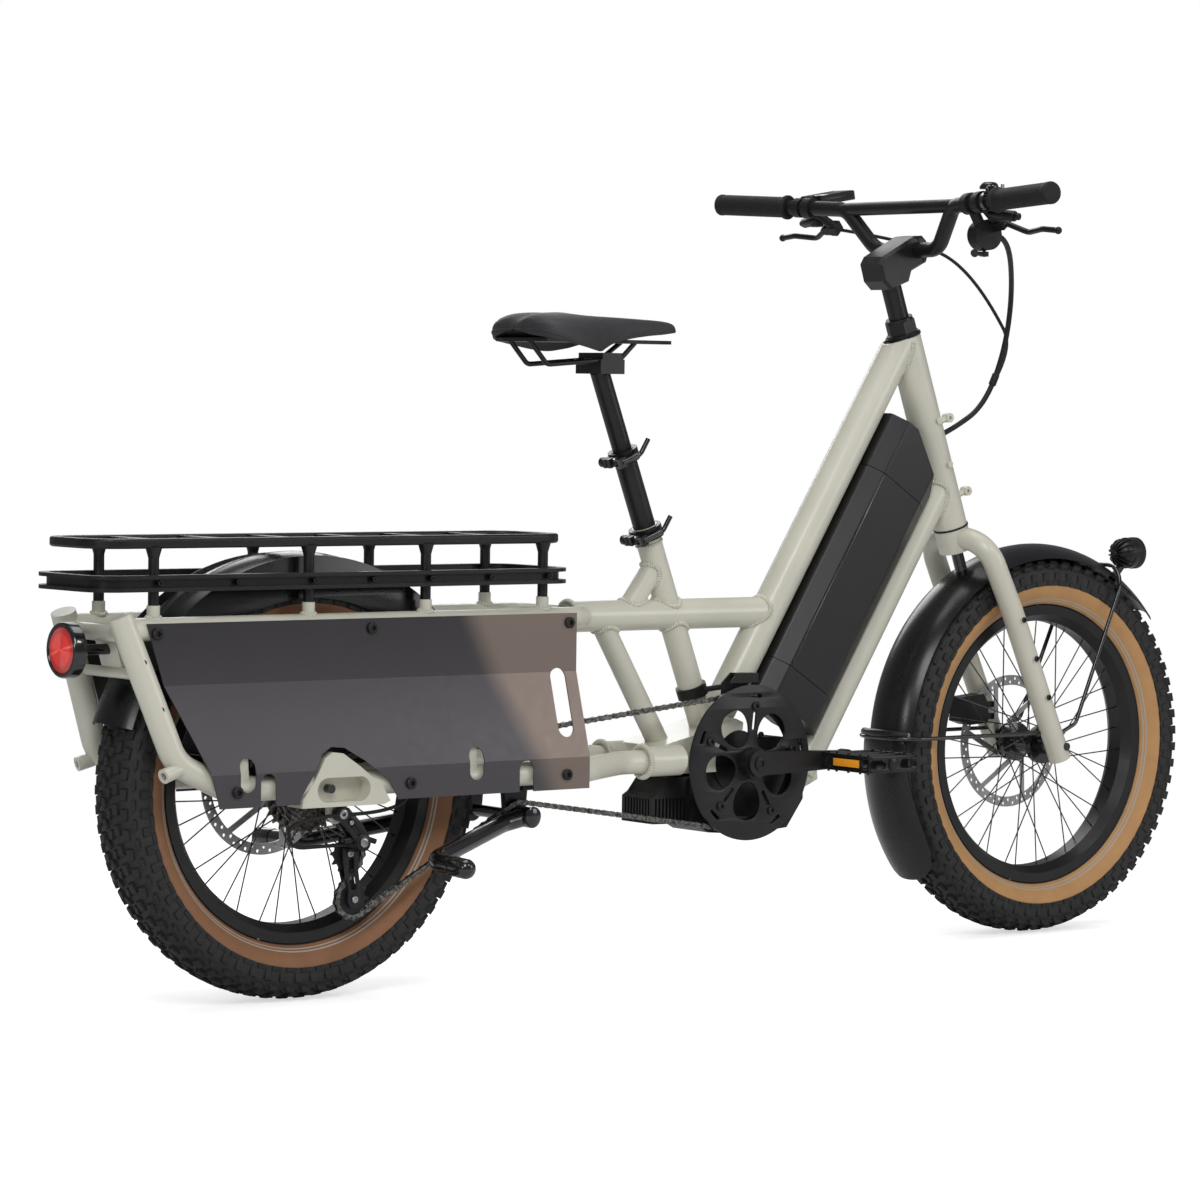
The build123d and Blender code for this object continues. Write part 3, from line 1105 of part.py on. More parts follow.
front_blade = [on_steer(x, y, s) for x, y, s in BLADE_ROUTE]
with BuildPart() as front_caliper:
    make_caliper(FRONT_X, FRONT_ROTOR_Y, [(-112, 34), (-108, 70), (-64, 74), (-54, 60), (-54, 30), (-92, 28)], 31, 56)
    for z in (34, 52):
        slab([(FRONT_X - 60, AXLE_Z + z), (FRONT_X - 60, AXLE_Z + z + 9), (FRONT_X - 28, AXLE_Z + z + 9),
              (FRONT_X - 28, AXLE_Z + z)], 45, 57)
    pipe(front_blade, [44, 90, 60], BLADE_R + FIT, Mode.SUBTRACT)
save(front_caliper, "front_caliper")

with BuildPart() as rear_caliper:
    make_caliper(REAR_X, REAR_ROTOR_Y, [(66, 12), (66, 44), (84, 62), (114, 60), (116, 34), (96, 12)], 48,
                 DROPOUT_Y[0])
save(rear_caliper, "rear_caliper")


# --- Fender stays and lamps ---
STAY_ROD_R = 3.0


def around_front(radius, angle):
    """A point in the middle plane at a radius and angle from the front axle."""
    return front(radius * cos(radians(angle)), 0, radius * sin(radians(angle)))


with BuildPart() as fender_stays:
    back = (FRONT_FENDER_R + FLAP_T + 2 * GAP + STAY_ROD_R)
    hoop = [front(-20, 58, 20), front(-back, 58, 20), front(-back, -58, 20), front(-20, -58, 20)]
    pipe(hoop, 40, STAY_ROD_R)
    top = around_front(FRONT_FENDER_R + STAY_ROD_R + GAP / 2, 61.5)
    arch = [front(6, 61, 18), front(40, 60, 32), Vector(top.X, 57, top.Z), Vector(top.X, -57, top.Z),
            front(40, -60, 32), front(6, -61, 18)]
    pipe(arch, [16, 45, 45, 16], STAY_ROD_R)
    rod(on_steer(0, 0, 276), on_steer(0, 0, CROWN_LOW - GAP / 4), 9)
    pin(FRONT_X, AXLE_Z, -30, 30, FRONT_FENDER_R + FIT, Mode.SUBTRACT)
    for side in SIDES:
        pipe(mirrored(front_blade, side), [44, 90, 60], BLADE_R + FIT, Mode.SUBTRACT)
save(fender_stays, "fender_stays")

LAMP_R = 23.5
lamp_at = front(200, 0, 284)
with BuildPart() as headlamp:
    rod(lamp_at + Vector(-16, 0, 0), lamp_at + Vector(18, 0, 0), LAMP_R)
    rod(lamp_at + Vector(16, 0, 0), lamp_at + Vector(20, 0, 0), LAMP_R - 4)
    rod(lamp_at + Vector(-40, 0, 0), lamp_at + Vector(-16, 0, 0), 11)
    with Locations(Plane(origin=lamp_at + Vector(-27, 0, 0), x_dir=(0, 1, 0), z_dir=(1, 0, 0))):
        with PolarLocations(LAMP_R / 2 - 1, 10):
            Box(LAMP_R, 2.4, 22)
    rod(lamp_at + Vector(-8, 0, -18), around_front(FRONT_FENDER_R - 6, 55), 6)
    pin(FRONT_X, AXLE_Z, -30, 30, FRONT_FENDER_R + FIT, Mode.SUBTRACT)
save(headlamp, "headlamp")

LENS_R = 29.5
TAIL_LAMP_Z = 468.0
with BuildPart() as tail_lamp_housing:
    rod(rear(-348, 0, TAIL_LAMP_Z), rear(-334, 0, TAIL_LAMP_Z), LENS_R + 5.5)
    rod(rear(-336, 0, TAIL_LAMP_Z), rear(-324, 0, TAIL_LAMP_Z), 22)
    rod(rear(-330, 0, TAIL_LAMP_Z), rear(-270, 0, TAIL_LAMP_Z), 7)
    rod(rear(-349, 0, TAIL_LAMP_Z), rear(-338, 0, TAIL_LAMP_Z), LENS_R + FIT, Mode.SUBTRACT)
    slab([(REAR_X - 290.05, 494), (REAR_X - 200, 494), (REAR_X - 200, 438), (cross_low_x - 0.05, 438)],
         -30, 30, Mode.SUBTRACT)
save(tail_lamp_housing, "tail_lamp_housing")
with BuildPart() as tail_lamp_lens:
    rod(rear(-RACK_OVERHANG, 0, TAIL_LAMP_Z), rear(-338, 0, TAIL_LAMP_Z), LENS_R)
save(tail_lamp_lens, "tail_lamp_lens")


# --- Seat ---
SKEWER_R = 3.0
CAM_PIN_R = 2.5
CAM_Y = -20.0
POST_LOW_SPAN = (452.0, UPPER_COLLAR_Z + COLLAR_H / 2)
POST_HIGH_SPAN = (602.0, 832.0)


def on_post(z, x, y, s):
    """A point by the seat post, ahead by x and up the post by s from height z."""
    return seat_plane(z).from_local_coords(Vector(x, y, s))


def skewer_x(bore_r):
    """How far ahead of the post's axis the skewer of a collar lies."""
    return -bore_r - COLLAR_T - 6


def make_collar(z, bore_r):
    """A split clamp ring with two ears, its skewer with a thumb nut, and the pin of its lever."""
    outer = bore_r + COLLAR_T
    at = skewer_x(bore_r)
    rod(on_post(z, 0, 0, -COLLAR_H / 2), on_post(z, 0, 0, COLLAR_H / 2), outer)
    with Locations(seat_plane(z)):
        with Locations((-outer - 3, 0, 0)):
            Box(18, 17, COLLAR_H - 4)
            Box(24, 2.4, COLLAR_H + 2, mode=Mode.SUBTRACT)
    rod(on_post(z, 0, 0, -COLLAR_H), on_post(z, 0, 0, COLLAR_H), bore_r + FIT, Mode.SUBTRACT)
    rod(on_post(z, at, CAM_Y - 2.4, 0), on_post(z, at, 17, 0), SKEWER_R)
    rod(on_post(z, at, 8, 0), on_post(z, at, 16, 0), 7)
    rod(on_post(z, at, CAM_Y, -7), on_post(z, at, CAM_Y, 7), CAM_PIN_R)


def make_qr_lever(z, bore_r):
    """A cam lever: two cheeks on the pin, a bridge between them and a curled arm."""
    at = skewer_x(bore_r)
    for s in (-5.2, 5.2):
        rod(on_post(z, at, CAM_Y, s - 1.7), on_post(z, at, CAM_Y, s + 1.7), 6)
        with Locations(seat_plane(z)):
            with Locations((at, CAM_Y - 5, s)):
                Box(12, 10, 3.4)
    with Locations(seat_plane(z)):
        with Locations((at, CAM_Y - 8.5, 0)):
            Box(12, 5, 13.8)
    pipe([on_post(z, at, CAM_Y - 9, 0), on_post(z, 6, CAM_Y - 10, 0), on_post(z, 24, CAM_Y - 13, 16)], 14, 3.4)
    rod(on_post(z, at, CAM_Y, -9), on_post(z, at, CAM_Y, 9), CAM_PIN_R + FIT, Mode.SUBTRACT)


with BuildPart() as seat_collar_lower:
    make_collar(LOWER_COLLAR_Z, SEAT_TUBE_R)
save(seat_collar_lower, "seat_collar_lower")
with BuildPart() as qr_lever_lower:
    make_qr_lever(LOWER_COLLAR_Z, SEAT_TUBE_R)
save(qr_lever_lower, "qr_lever_lower")

with BuildPart() as seatpost_lower:
    rod(seat_point(POST_LOW_SPAN[0]), seat_point(POST_LOW_SPAN[1]), POST_LOW_R)
    rod(seat_point(500), seat_point(POST_LOW_SPAN[1] + 1), POST_HIGH_R + FIT, Mode.SUBTRACT)
save(seatpost_lower, "seatpost_lower")
with BuildPart() as seat_collar_upper:
    make_collar(UPPER_COLLAR_Z, POST_LOW_R)
save(seat_collar_upper, "seat_collar_upper")
with BuildPart() as qr_lever_upper:
    make_qr_lever(UPPER_COLLAR_Z, POST_LOW_R)
save(qr_lever_upper, "qr_lever_upper")

RAIL_SPACING = 22.0
SADDLE_RAIL_R = 3.5
with BuildPart() as seatpost_upper:
    rod(seat_point(POST_HIGH_SPAN[0]), seat_point(POST_HIGH_SPAN[1]), POST_HIGH_R)
    with Locations((CLAMP_AT[0], 0, CLAMP_AT[1] - 10)):
        Box(42, 56, 20)
    with Locations((CLAMP_AT[0], 0, CLAMP_AT[1] + 4)):
        Box(34, 54, 10)
    for side in SIDES:
        pipe([rear(372, side * RAIL_SPACING, SADDLE_LOW - 3), rear(403, side * RAIL_SPACING, 840),
              rear(532, side * RAIL_SPACING, 850), rear(562, side * 16, SADDLE_LOW - 3)], 12, SADDLE_RAIL_R)
    outline = [(REAR_X + x, -y) for x, y in SADDLE_HALF] + [(REAR_X + x, y) for x, y in reversed(SADDLE_HALF)]
    with BuildSketch(Plane.XY.offset(SADDLE_LOW - 5)) as shell:
        Polygon(*outline, align=None)
        offset(amount=-5)
    extrude(shell.sketch, amount=5)
save(seatpost_upper, "seatpost_upper")

with BuildPart() as saddle:
    with BuildSketch(Plane.XY.offset(SADDLE_LOW + 0.3)) as outline_face:
        Polygon(*outline, align=None)
    extrude(outline_face.sketch, amount=40)
    slab([(REAR_X + x, z) for x, z in SADDLE_CREST] + [(REAR_X + 644, 940), (REAR_X + 356, 940)], -90, 90,
         Mode.SUBTRACT)
save(saddle, "saddle")


# --- Bar controls ---
PERCH_END = (164.0, 178.0)  # along the bar, in from its end
CLAMP_T = 4.5
LEVER_PIN_R = 3.0
PERCH_ARM_R = 6.5
PERCH_BLOCK = (12.0, 15.0, 17.8)
LEVER_R = 4.2


def bar_ring(side, start, end, thickness=CLAMP_T):
    """A clamp ring on the bar between two distances from its end."""
    rod(on_bar(side, start), on_bar(side, end), BAR_R + thickness)


def clear_bar(side):
    """Cut the bar's path out of whatever is clamped on it."""
    rod(on_bar(side, 120), on_bar(side, 226), BAR_R + FIT, Mode.SUBTRACT)


def lever_plane(side):
    """At a brake lever's pivot, with x outwards along the bar and z along the pin."""
    outward = Vector(grip_dir.X, side * grip_dir.Y, grip_dir.Z)
    pull = Vector(-0.72, 0, 0.69)
    return Plane(origin=on_bar(side, 165, -28, 42), x_dir=outward, z_dir=outward.cross(pull))


def by_lever(side, x, y, z):
    """A point by a brake lever's pivot."""
    return lever_plane(side).from_local_coords(Vector(x, y, z))


def make_lever(side):
    """A one-finger brake lever with its eye on the pin and a ball at the tip."""
    rod(by_lever(side, 0, 0, -5), by_lever(side, 0, 0, 5), 7)
    route = [by_lever(side, 0, 0, 0), on_bar(side, 128, -44, 60), on_bar(side, 88, -42, 56), on_bar(side, 58, -46, 63)]
    pipe(route, [20, 20], LEVER_R)
    with Locations(route[-1]):
        Sphere(LEVER_R + 1.2)
    rod(by_lever(side, 0, 0, -9), by_lever(side, 0, 0, 9), LEVER_PIN_R + FIT, Mode.SUBTRACT)


with BuildPart() as brake_perches:
    for side in SIDES:
        bar_ring(side, *PERCH_END)
        rod(by_lever(side, -18, 0, 0), on_bar(side, 173, -4, 4), PERCH_ARM_R)
        with Locations(lever_plane(side)):
            with Locations((-16, 0, 0)):
                Box(*PERCH_BLOCK)
            for z in (-7.3, 7.3):
                with Locations((-7, 0, z)):
                    Box(16, 13, 3.2)
        for z in (-8.9, 5.7):
            rod(by_lever(side, 0, 0, z), by_lever(side, 0, 0, z + 3.2), 6.8)
        rod(by_lever(side, 0, 0, -8), by_lever(side, 0, 0, 8), LEVER_PIN_R)
        clear_bar(side)
save(brake_perches, "brake_perches")

with BuildPart() as brake_lever_left:
    make_lever(1)
save(brake_lever_left, "brake_lever_left")
with BuildPart() as brake_lever_right:
    make_lever(-1)
save(brake_lever_right, "brake_lever_right")

POD_R = 22.0
SHIFT_PIN_R = 2.5
pod_in = on_bar(-1, 212, -44, 30)
pod_out = on_bar(-1, 188, -44, 30)
shift_at = (pod_in + pod_out) * 0.5
with BuildPart() as shifter:
    bar_ring(-1, 192, 206)
    rod(pod_in, pod_out, POD_R)
    rod(on_bar(-1, 199, -8, 6), on_bar(-1, 199, -30, 20), 8)
    rod(by_lever(-1, -18, 0, 0), on_bar(-1, 173, -4, 4), PERCH_ARM_R + FIT, Mode.SUBTRACT)
    with Locations(lever_plane(-1)):
        with Locations((-16, 0, 0)):
            Box(PERCH_BLOCK[0] + 2 * FIT, PERCH_BLOCK[1] + 2 * FIT, PERCH_BLOCK[2] + 2 * FIT, mode=Mode.SUBTRACT)
    rod(shift_at, shift_at - Vector(0, 0, POD_R + 9), SHIFT_PIN_R)
    clear_bar(-1)
save(shifter, "shifter")

with BuildPart() as shift_lever:
    eye_top = shift_at - Vector(0, 0, POD_R + 1.5)
    rod(eye_top, eye_top - Vector(0, 0, 7), 6.5)
    rod(eye_top + Vector(-2, 0, -3.5), eye_top + Vector(-34, -16, -3.5), 3.2)
    rod(eye_top + Vector(-28, -10, -3.5), eye_top + Vector(-42, -24, -3.5), 5.5)
    rod(eye_top + Vector(0, 0, 1), eye_top - Vector(0, 0, 8), SHIFT_PIN_R + FIT, Mode.SUBTRACT)
save(shift_lever, "shift_lever")

DOME_R = 13.5
STRIKER_PIN_R = 1.5
bell_foot = on_bar(-1, 152)
with BuildPart() as bell:
    bar_ring(-1, 148, 156, 3)
    rod(bell_foot, bell_foot + Vector(0, 0, 20), 5)
    rod(bell_foot + Vector(0, 0, 17), bell_foot + Vector(0, 0, 27), DOME_R)
    fillet(bell.edges().sort_by(Axis.Z)[-1], 7)
    rod(bell_foot + Vector(3, 0, 14.8), bell_foot + Vector(14, 0, 14.8), STRIKER_PIN_R)
    clear_bar(-1)
save(bell, "bell")

with BuildPart() as bell_striker:
    rod(bell_foot + Vector(9, 0, 14.8), bell_foot + Vector(13, 0, 14.8), 2.1)
    rod(bell_foot + Vector(11, -2, 14.8), bell_foot + Vector(11, -17, 15.4), 1.2)
    rod(bell_foot + Vector(11, -16.4, 14), bell_foot + Vector(11, -16.4, 24), 2.6)
    rod(bell_foot + Vector(4, 0, 14.8), bell_foot + Vector(15, 0, 14.8), STRIKER_PIN_R + FIT, Mode.SUBTRACT)
save(bell_striker, "bell_striker")

display_foot = on_bar(1, 152)
with BuildPart() as display:
    bar_ring(1, 146, 158, 3.5)
    rod(display_foot + Vector(8, 0, 6), display_foot + Vector(34, 0, 12), 6)
    with Locations(Plane(origin=display_foot + Vector(52, -4, 16), x_dir=(0.98, 0, 0.17), z_dir=(-0.17, 0, 0.98))):
        Box(68, 46, 13)
    clear_bar(1)
save(display, "display")

LOOM_R = 4.0
loom_end = on_steer(HEAD_TUBE_R + 0.4, 0, 484)
with BuildPart() as cable_loom:
    pipe([shift_at + Vector(POD_R + 1, 0, 0), shift_at + Vector(POD_R + 26, 0, -2), rear(1250, -50, 960), rear(1270, -14, 870),
          rear(1240, -3, 790), on_steer(HEAD_TUBE_R + 24, 0, 484), loom_end], [20, 50, 50, 50, 14], LOOM_R)
    pipe([on_bar(1, 178, -30, 54), rear(1150, 90, 1036), rear(1236, 30, 1004), rear(1279, -2, 905)], 30, 2.5)
save(cable_loom, "cable_loom")
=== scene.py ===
"""Looks of a long-tail electric cargo bicycle, laid over its jointed frame of solids."""
import math
from math import cos, pi, radians, sin, tau

import bpy
from mathutils import Matrix, Vector


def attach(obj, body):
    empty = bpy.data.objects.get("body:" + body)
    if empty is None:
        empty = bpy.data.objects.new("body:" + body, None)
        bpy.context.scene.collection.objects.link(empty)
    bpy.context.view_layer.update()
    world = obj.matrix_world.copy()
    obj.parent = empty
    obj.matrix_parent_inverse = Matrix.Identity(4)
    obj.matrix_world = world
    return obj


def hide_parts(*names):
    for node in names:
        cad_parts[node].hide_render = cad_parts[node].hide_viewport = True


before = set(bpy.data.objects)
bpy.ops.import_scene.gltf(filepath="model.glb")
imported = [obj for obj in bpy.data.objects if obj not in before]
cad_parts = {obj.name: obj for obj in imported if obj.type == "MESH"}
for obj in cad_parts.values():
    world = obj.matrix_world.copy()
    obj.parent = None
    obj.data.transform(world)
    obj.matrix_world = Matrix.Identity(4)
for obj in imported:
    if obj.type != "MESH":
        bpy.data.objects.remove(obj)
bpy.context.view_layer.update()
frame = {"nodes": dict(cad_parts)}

bl_info = {
    "name": "Cargo bicycle looks",
    "version": (1, 0, 0),
    "blender": (4, 5, 0),
    "location": "View3D > Sidebar > Bicycle",
    "description": "Detailed pieces and finishes for a long-tail cargo bicycle",
    "category": "Add Mesh",
}

REAR = Vector((-0.641, 0, 0.284))
FRONT = Vector((0.707, 0, 0.284))
CRANK = Vector((0.097, 0, 0.285))
GUARD_ARMS = [radians(12 + 72 * k) for k in range(5)]
HEAD_ANGLE = radians(70.1)
BAY_ANGLE = radians(57.5)
SEAT_ANGLE = radians(68.7)
HEAD_UP = Vector((-cos(HEAD_ANGLE), 0, sin(HEAD_ANGLE)))
HEAD_AHEAD = Vector((sin(HEAD_ANGLE), 0, cos(HEAD_ANGLE)))
STEER = Vector((FRONT.x - 0.0465 / sin(HEAD_ANGLE), 0, 0.284))
BAY_UP = Vector((cos(BAY_ANGLE), 0, sin(BAY_ANGLE)))
BAY_DOWN = Vector((sin(BAY_ANGLE), 0, -cos(BAY_ANGLE)))
SEAT_UP = Vector((-cos(SEAT_ANGLE), 0, sin(SEAT_ANGLE)))
SEAT_AHEAD = Vector((sin(SEAT_ANGLE), 0, cos(SEAT_ANGLE)))
MM = 0.001


def rear(x, y, z):
    """A point in millimetres ahead of the rear axle, left of the middle and above the ground."""
    return Vector((REAR.x + x * MM, y * MM, z * MM))


def front(x, y, z):
    """A point in millimetres from the front axle."""
    return FRONT + Vector((x, y, z)) * MM


def on_steer(x, y, s):
    """A point ahead of the steering axis by x, left by y and up it by s, in millimetres."""
    return STEER + (HEAD_AHEAD * x + Vector((0, y, 0)) + HEAD_UP * s) * MM


def in_bay(x, y, along):
    """A point below the upper tube's axis by x and down it by along, in millimetres."""
    return on_steer(0, 0, 646) + (BAY_DOWN * x + Vector((0, y, 0)) - BAY_UP * along) * MM


def on_seat(z, x=0, y=0, s=0):
    """A point by the seat post at height z, ahead by x and up the post by s, in millimetres."""
    foot = rear(597 + (614 - z) / math.tan(SEAT_ANGLE), 0, z)
    return foot + (SEAT_AHEAD * x + Vector((0, y, 0)) + SEAT_UP * s) * MM


BAR_TOP = front(-282, 116, 794)
BAR_END = front(-321, 354, 805)
BAR_DIR = (BAR_END - BAR_TOP).normalized()


def on_bar(side, back, up=0, ahead=0):
    """A point on the bar's straight part, back from its end, on one side, in millimetres."""
    p = BAR_END - BAR_DIR * back * MM
    return Vector((p.x + ahead * MM, side * p.y, p.z + up * MM))


# --- Sizes and colours that a user would change ---
class CargoPaint(bpy.types.PropertyGroup):
    """Colours of the painted and moulded surfaces."""

    frame: bpy.props.FloatVectorProperty(name="Frame", description="Warm cream powder coat", subtype="COLOR",
                                         size=3, min=0, max=1, default=(0.617, 0.604, 0.503))
    black: bpy.props.FloatVectorProperty(name="Black parts", description="Satin black paint", subtype="COLOR",
                                         size=3, min=0, max=1, default=(0.0075, 0.0075, 0.008))
    panel: bpy.props.FloatVectorProperty(name="Side panels", description="Charcoal sheet metal", subtype="COLOR",
                                         size=3, min=0, max=1, default=(0.052, 0.048, 0.052))
    lens: bpy.props.FloatVectorProperty(name="Tail lens", description="Red of the tail lamp", subtype="COLOR",
                                        size=3, min=0, max=1, default=(0.72, 0.045, 0.035))
    reflector: bpy.props.FloatVectorProperty(name="Pedal reflector", description="Amber of the reflectors",
                                             subtype="COLOR", size=3, min=0, max=1, default=(0.85, 0.33, 0.02))


class CargoTyre(bpy.types.PropertyGroup):
    """Sizes and colours of both tyres."""

    radius: bpy.props.FloatProperty(name="Radius", description="Over the tread", unit="LENGTH", default=0.284)
    half_width: bpy.props.FloatProperty(name="Half width", description="From the middle to the sidewall",
                                        unit="LENGTH", default=0.045)
    tread: bpy.props.FloatProperty(name="Tread depth", description="Height of the blocks", unit="LENGTH",
                                   default=0.0048)
    blocks: bpy.props.IntProperty(name="Blocks", description="Blocks round the tyre in each row", default=66,
                                  min=20)
    tan_front: bpy.props.FloatVectorProperty(name="Front sidewall", description="Colour of the front sidewall",
                                             subtype="COLOR", size=3, min=0, max=1, default=(0.50, 0.27, 0.105))
    tan_rear: bpy.props.FloatVectorProperty(name="Rear sidewall", description="Colour of the rear sidewall",
                                            subtype="COLOR", size=3, min=0, max=1, default=(0.27, 0.125, 0.058))


class CargoWeld(bpy.types.PropertyGroup):
    """Sizes of the weld beads on the frame."""

    bead: bpy.props.FloatProperty(name="Bead", description="Radius of the bead", unit="LENGTH", default=0.0037)
    ripple: bpy.props.FloatProperty(name="Ripple", description="Length of one ripple", unit="LENGTH",
                                    default=0.0034)


# --- Shader maths ---
class Value:
    """A socket that adds Math nodes when Python's operators are used on it."""

    def __init__(self, finish, socket):
        self.finish = finish
        self.socket = socket

    def math(self, operation, *values):
        return self.finish.node("ShaderNodeMath", {"operation": operation}, dict(enumerate((self, *values))))

    def __add__(self, other):
        return self.math("ADD", other)

    __radd__ = __add__

    def __sub__(self, other):
        return self.math("SUBTRACT", other)

    def __rsub__(self, other):
        return self.finish.node("ShaderNodeMath", {"operation": "SUBTRACT"}, {0: other, 1: self})

    def __mul__(self, other):
        return self.math("MULTIPLY", other)

    __rmul__ = __mul__

    def __truediv__(self, other):
        return self.math("DIVIDE", other)

    def above(self, edge):
        return self.math("GREATER_THAN", edge)

    def below(self, edge):
        return self.math("LESS_THAN", edge)

    def between(self, low, high):
        return self.above(low) * self.below(high)

    def ramp(self, low, high):
        """0 at low to 1 at high, smooth between."""
        return self.finish.node("ShaderNodeMapRange", {"interpolation_type": "SMOOTHSTEP"},
                                {"Value": self, "From Min": low, "From Max": high})


class Finish:
    """A named material with one Principled shader."""

    def __init__(self, name, colour, roughness=0.5, metallic=0.0, coat=0.0, coat_roughness=0.1, specular=0.5,
                 sheen=0.0, transmission=0.0):
        self.material = bpy.data.materials.new(name)
        self.material.use_nodes = True
        self.tree = self.material.node_tree
        self.shader = self.tree.nodes["Principled BSDF"]
        self.set("Base Color", colour)
        self.set("Roughness", roughness)
        self.set("Metallic", metallic)
        self.set("Coat Weight", coat)
        self.set("Coat Roughness", coat_roughness)
        self.set("Specular IOR Level", specular)
        self.set("Sheen Weight", sheen)
        self.set("Transmission Weight", transmission)

    def join(self, socket, value):
        if isinstance(value, Value):
            self.tree.links.new(value.socket, socket)
        elif socket.type == "RGBA":
            socket.default_value = (*value, 1)[:4]
        else:
            socket.default_value = value

    def set(self, name, value):
        self.join(self.shader.inputs[name], value)

    def node(self, kind, settings, values, output=0):
        """Add a node, set it up and join its sockets; gives one of its outputs."""
        node = self.tree.nodes.new(kind)
        for key, value in settings.items():
            setattr(node, key, value)
        for key, value in values.items():
            self.join(node.inputs[key], value)
        return Value(self, node.outputs[output])

    def place(self):
        """Where the point is on the object."""
        return self.node("ShaderNodeTexCoord", {}, {}, "Object")

    def axes(self, centre=(0, 0, 0)):
        """The point's x, y and z from a centre."""
        moved = self.node("ShaderNodeVectorMath", {"operation": "SUBTRACT"}, {0: self.place(), 1: centre})
        split = self.node("ShaderNodeSeparateXYZ", {}, {0: moved})
        outputs = split.socket.node.outputs
        return [Value(self, outputs[i]) for i in range(3)]

    def noise(self, scale, detail=2.0):
        return self.node("ShaderNodeTexNoise", {}, {"Vector": self.place(), "Scale": scale, "Detail": detail})

    def cells(self, scale):
        return self.node("ShaderNodeTexVoronoi", {}, {"Vector": self.place(), "Scale": scale})

    def blend(self, mask, below, above):
        """One colour where the mask is 0 and another where it is 1."""
        return self.node("ShaderNodeMix", {"data_type": "RGBA"}, {0: mask, 6: below, 7: above}, 2)

    def bump(self, height, distance, strength=1.0):
        self.set("Normal", self.node("ShaderNodeBump", {}, {"Height": height, "Distance": distance,
                                                            "Strength": strength}))


def shade(colour, factor):
    """A colour made lighter or darker."""
    return tuple(min(1, c * factor) for c in colour)


FINISHES = {}


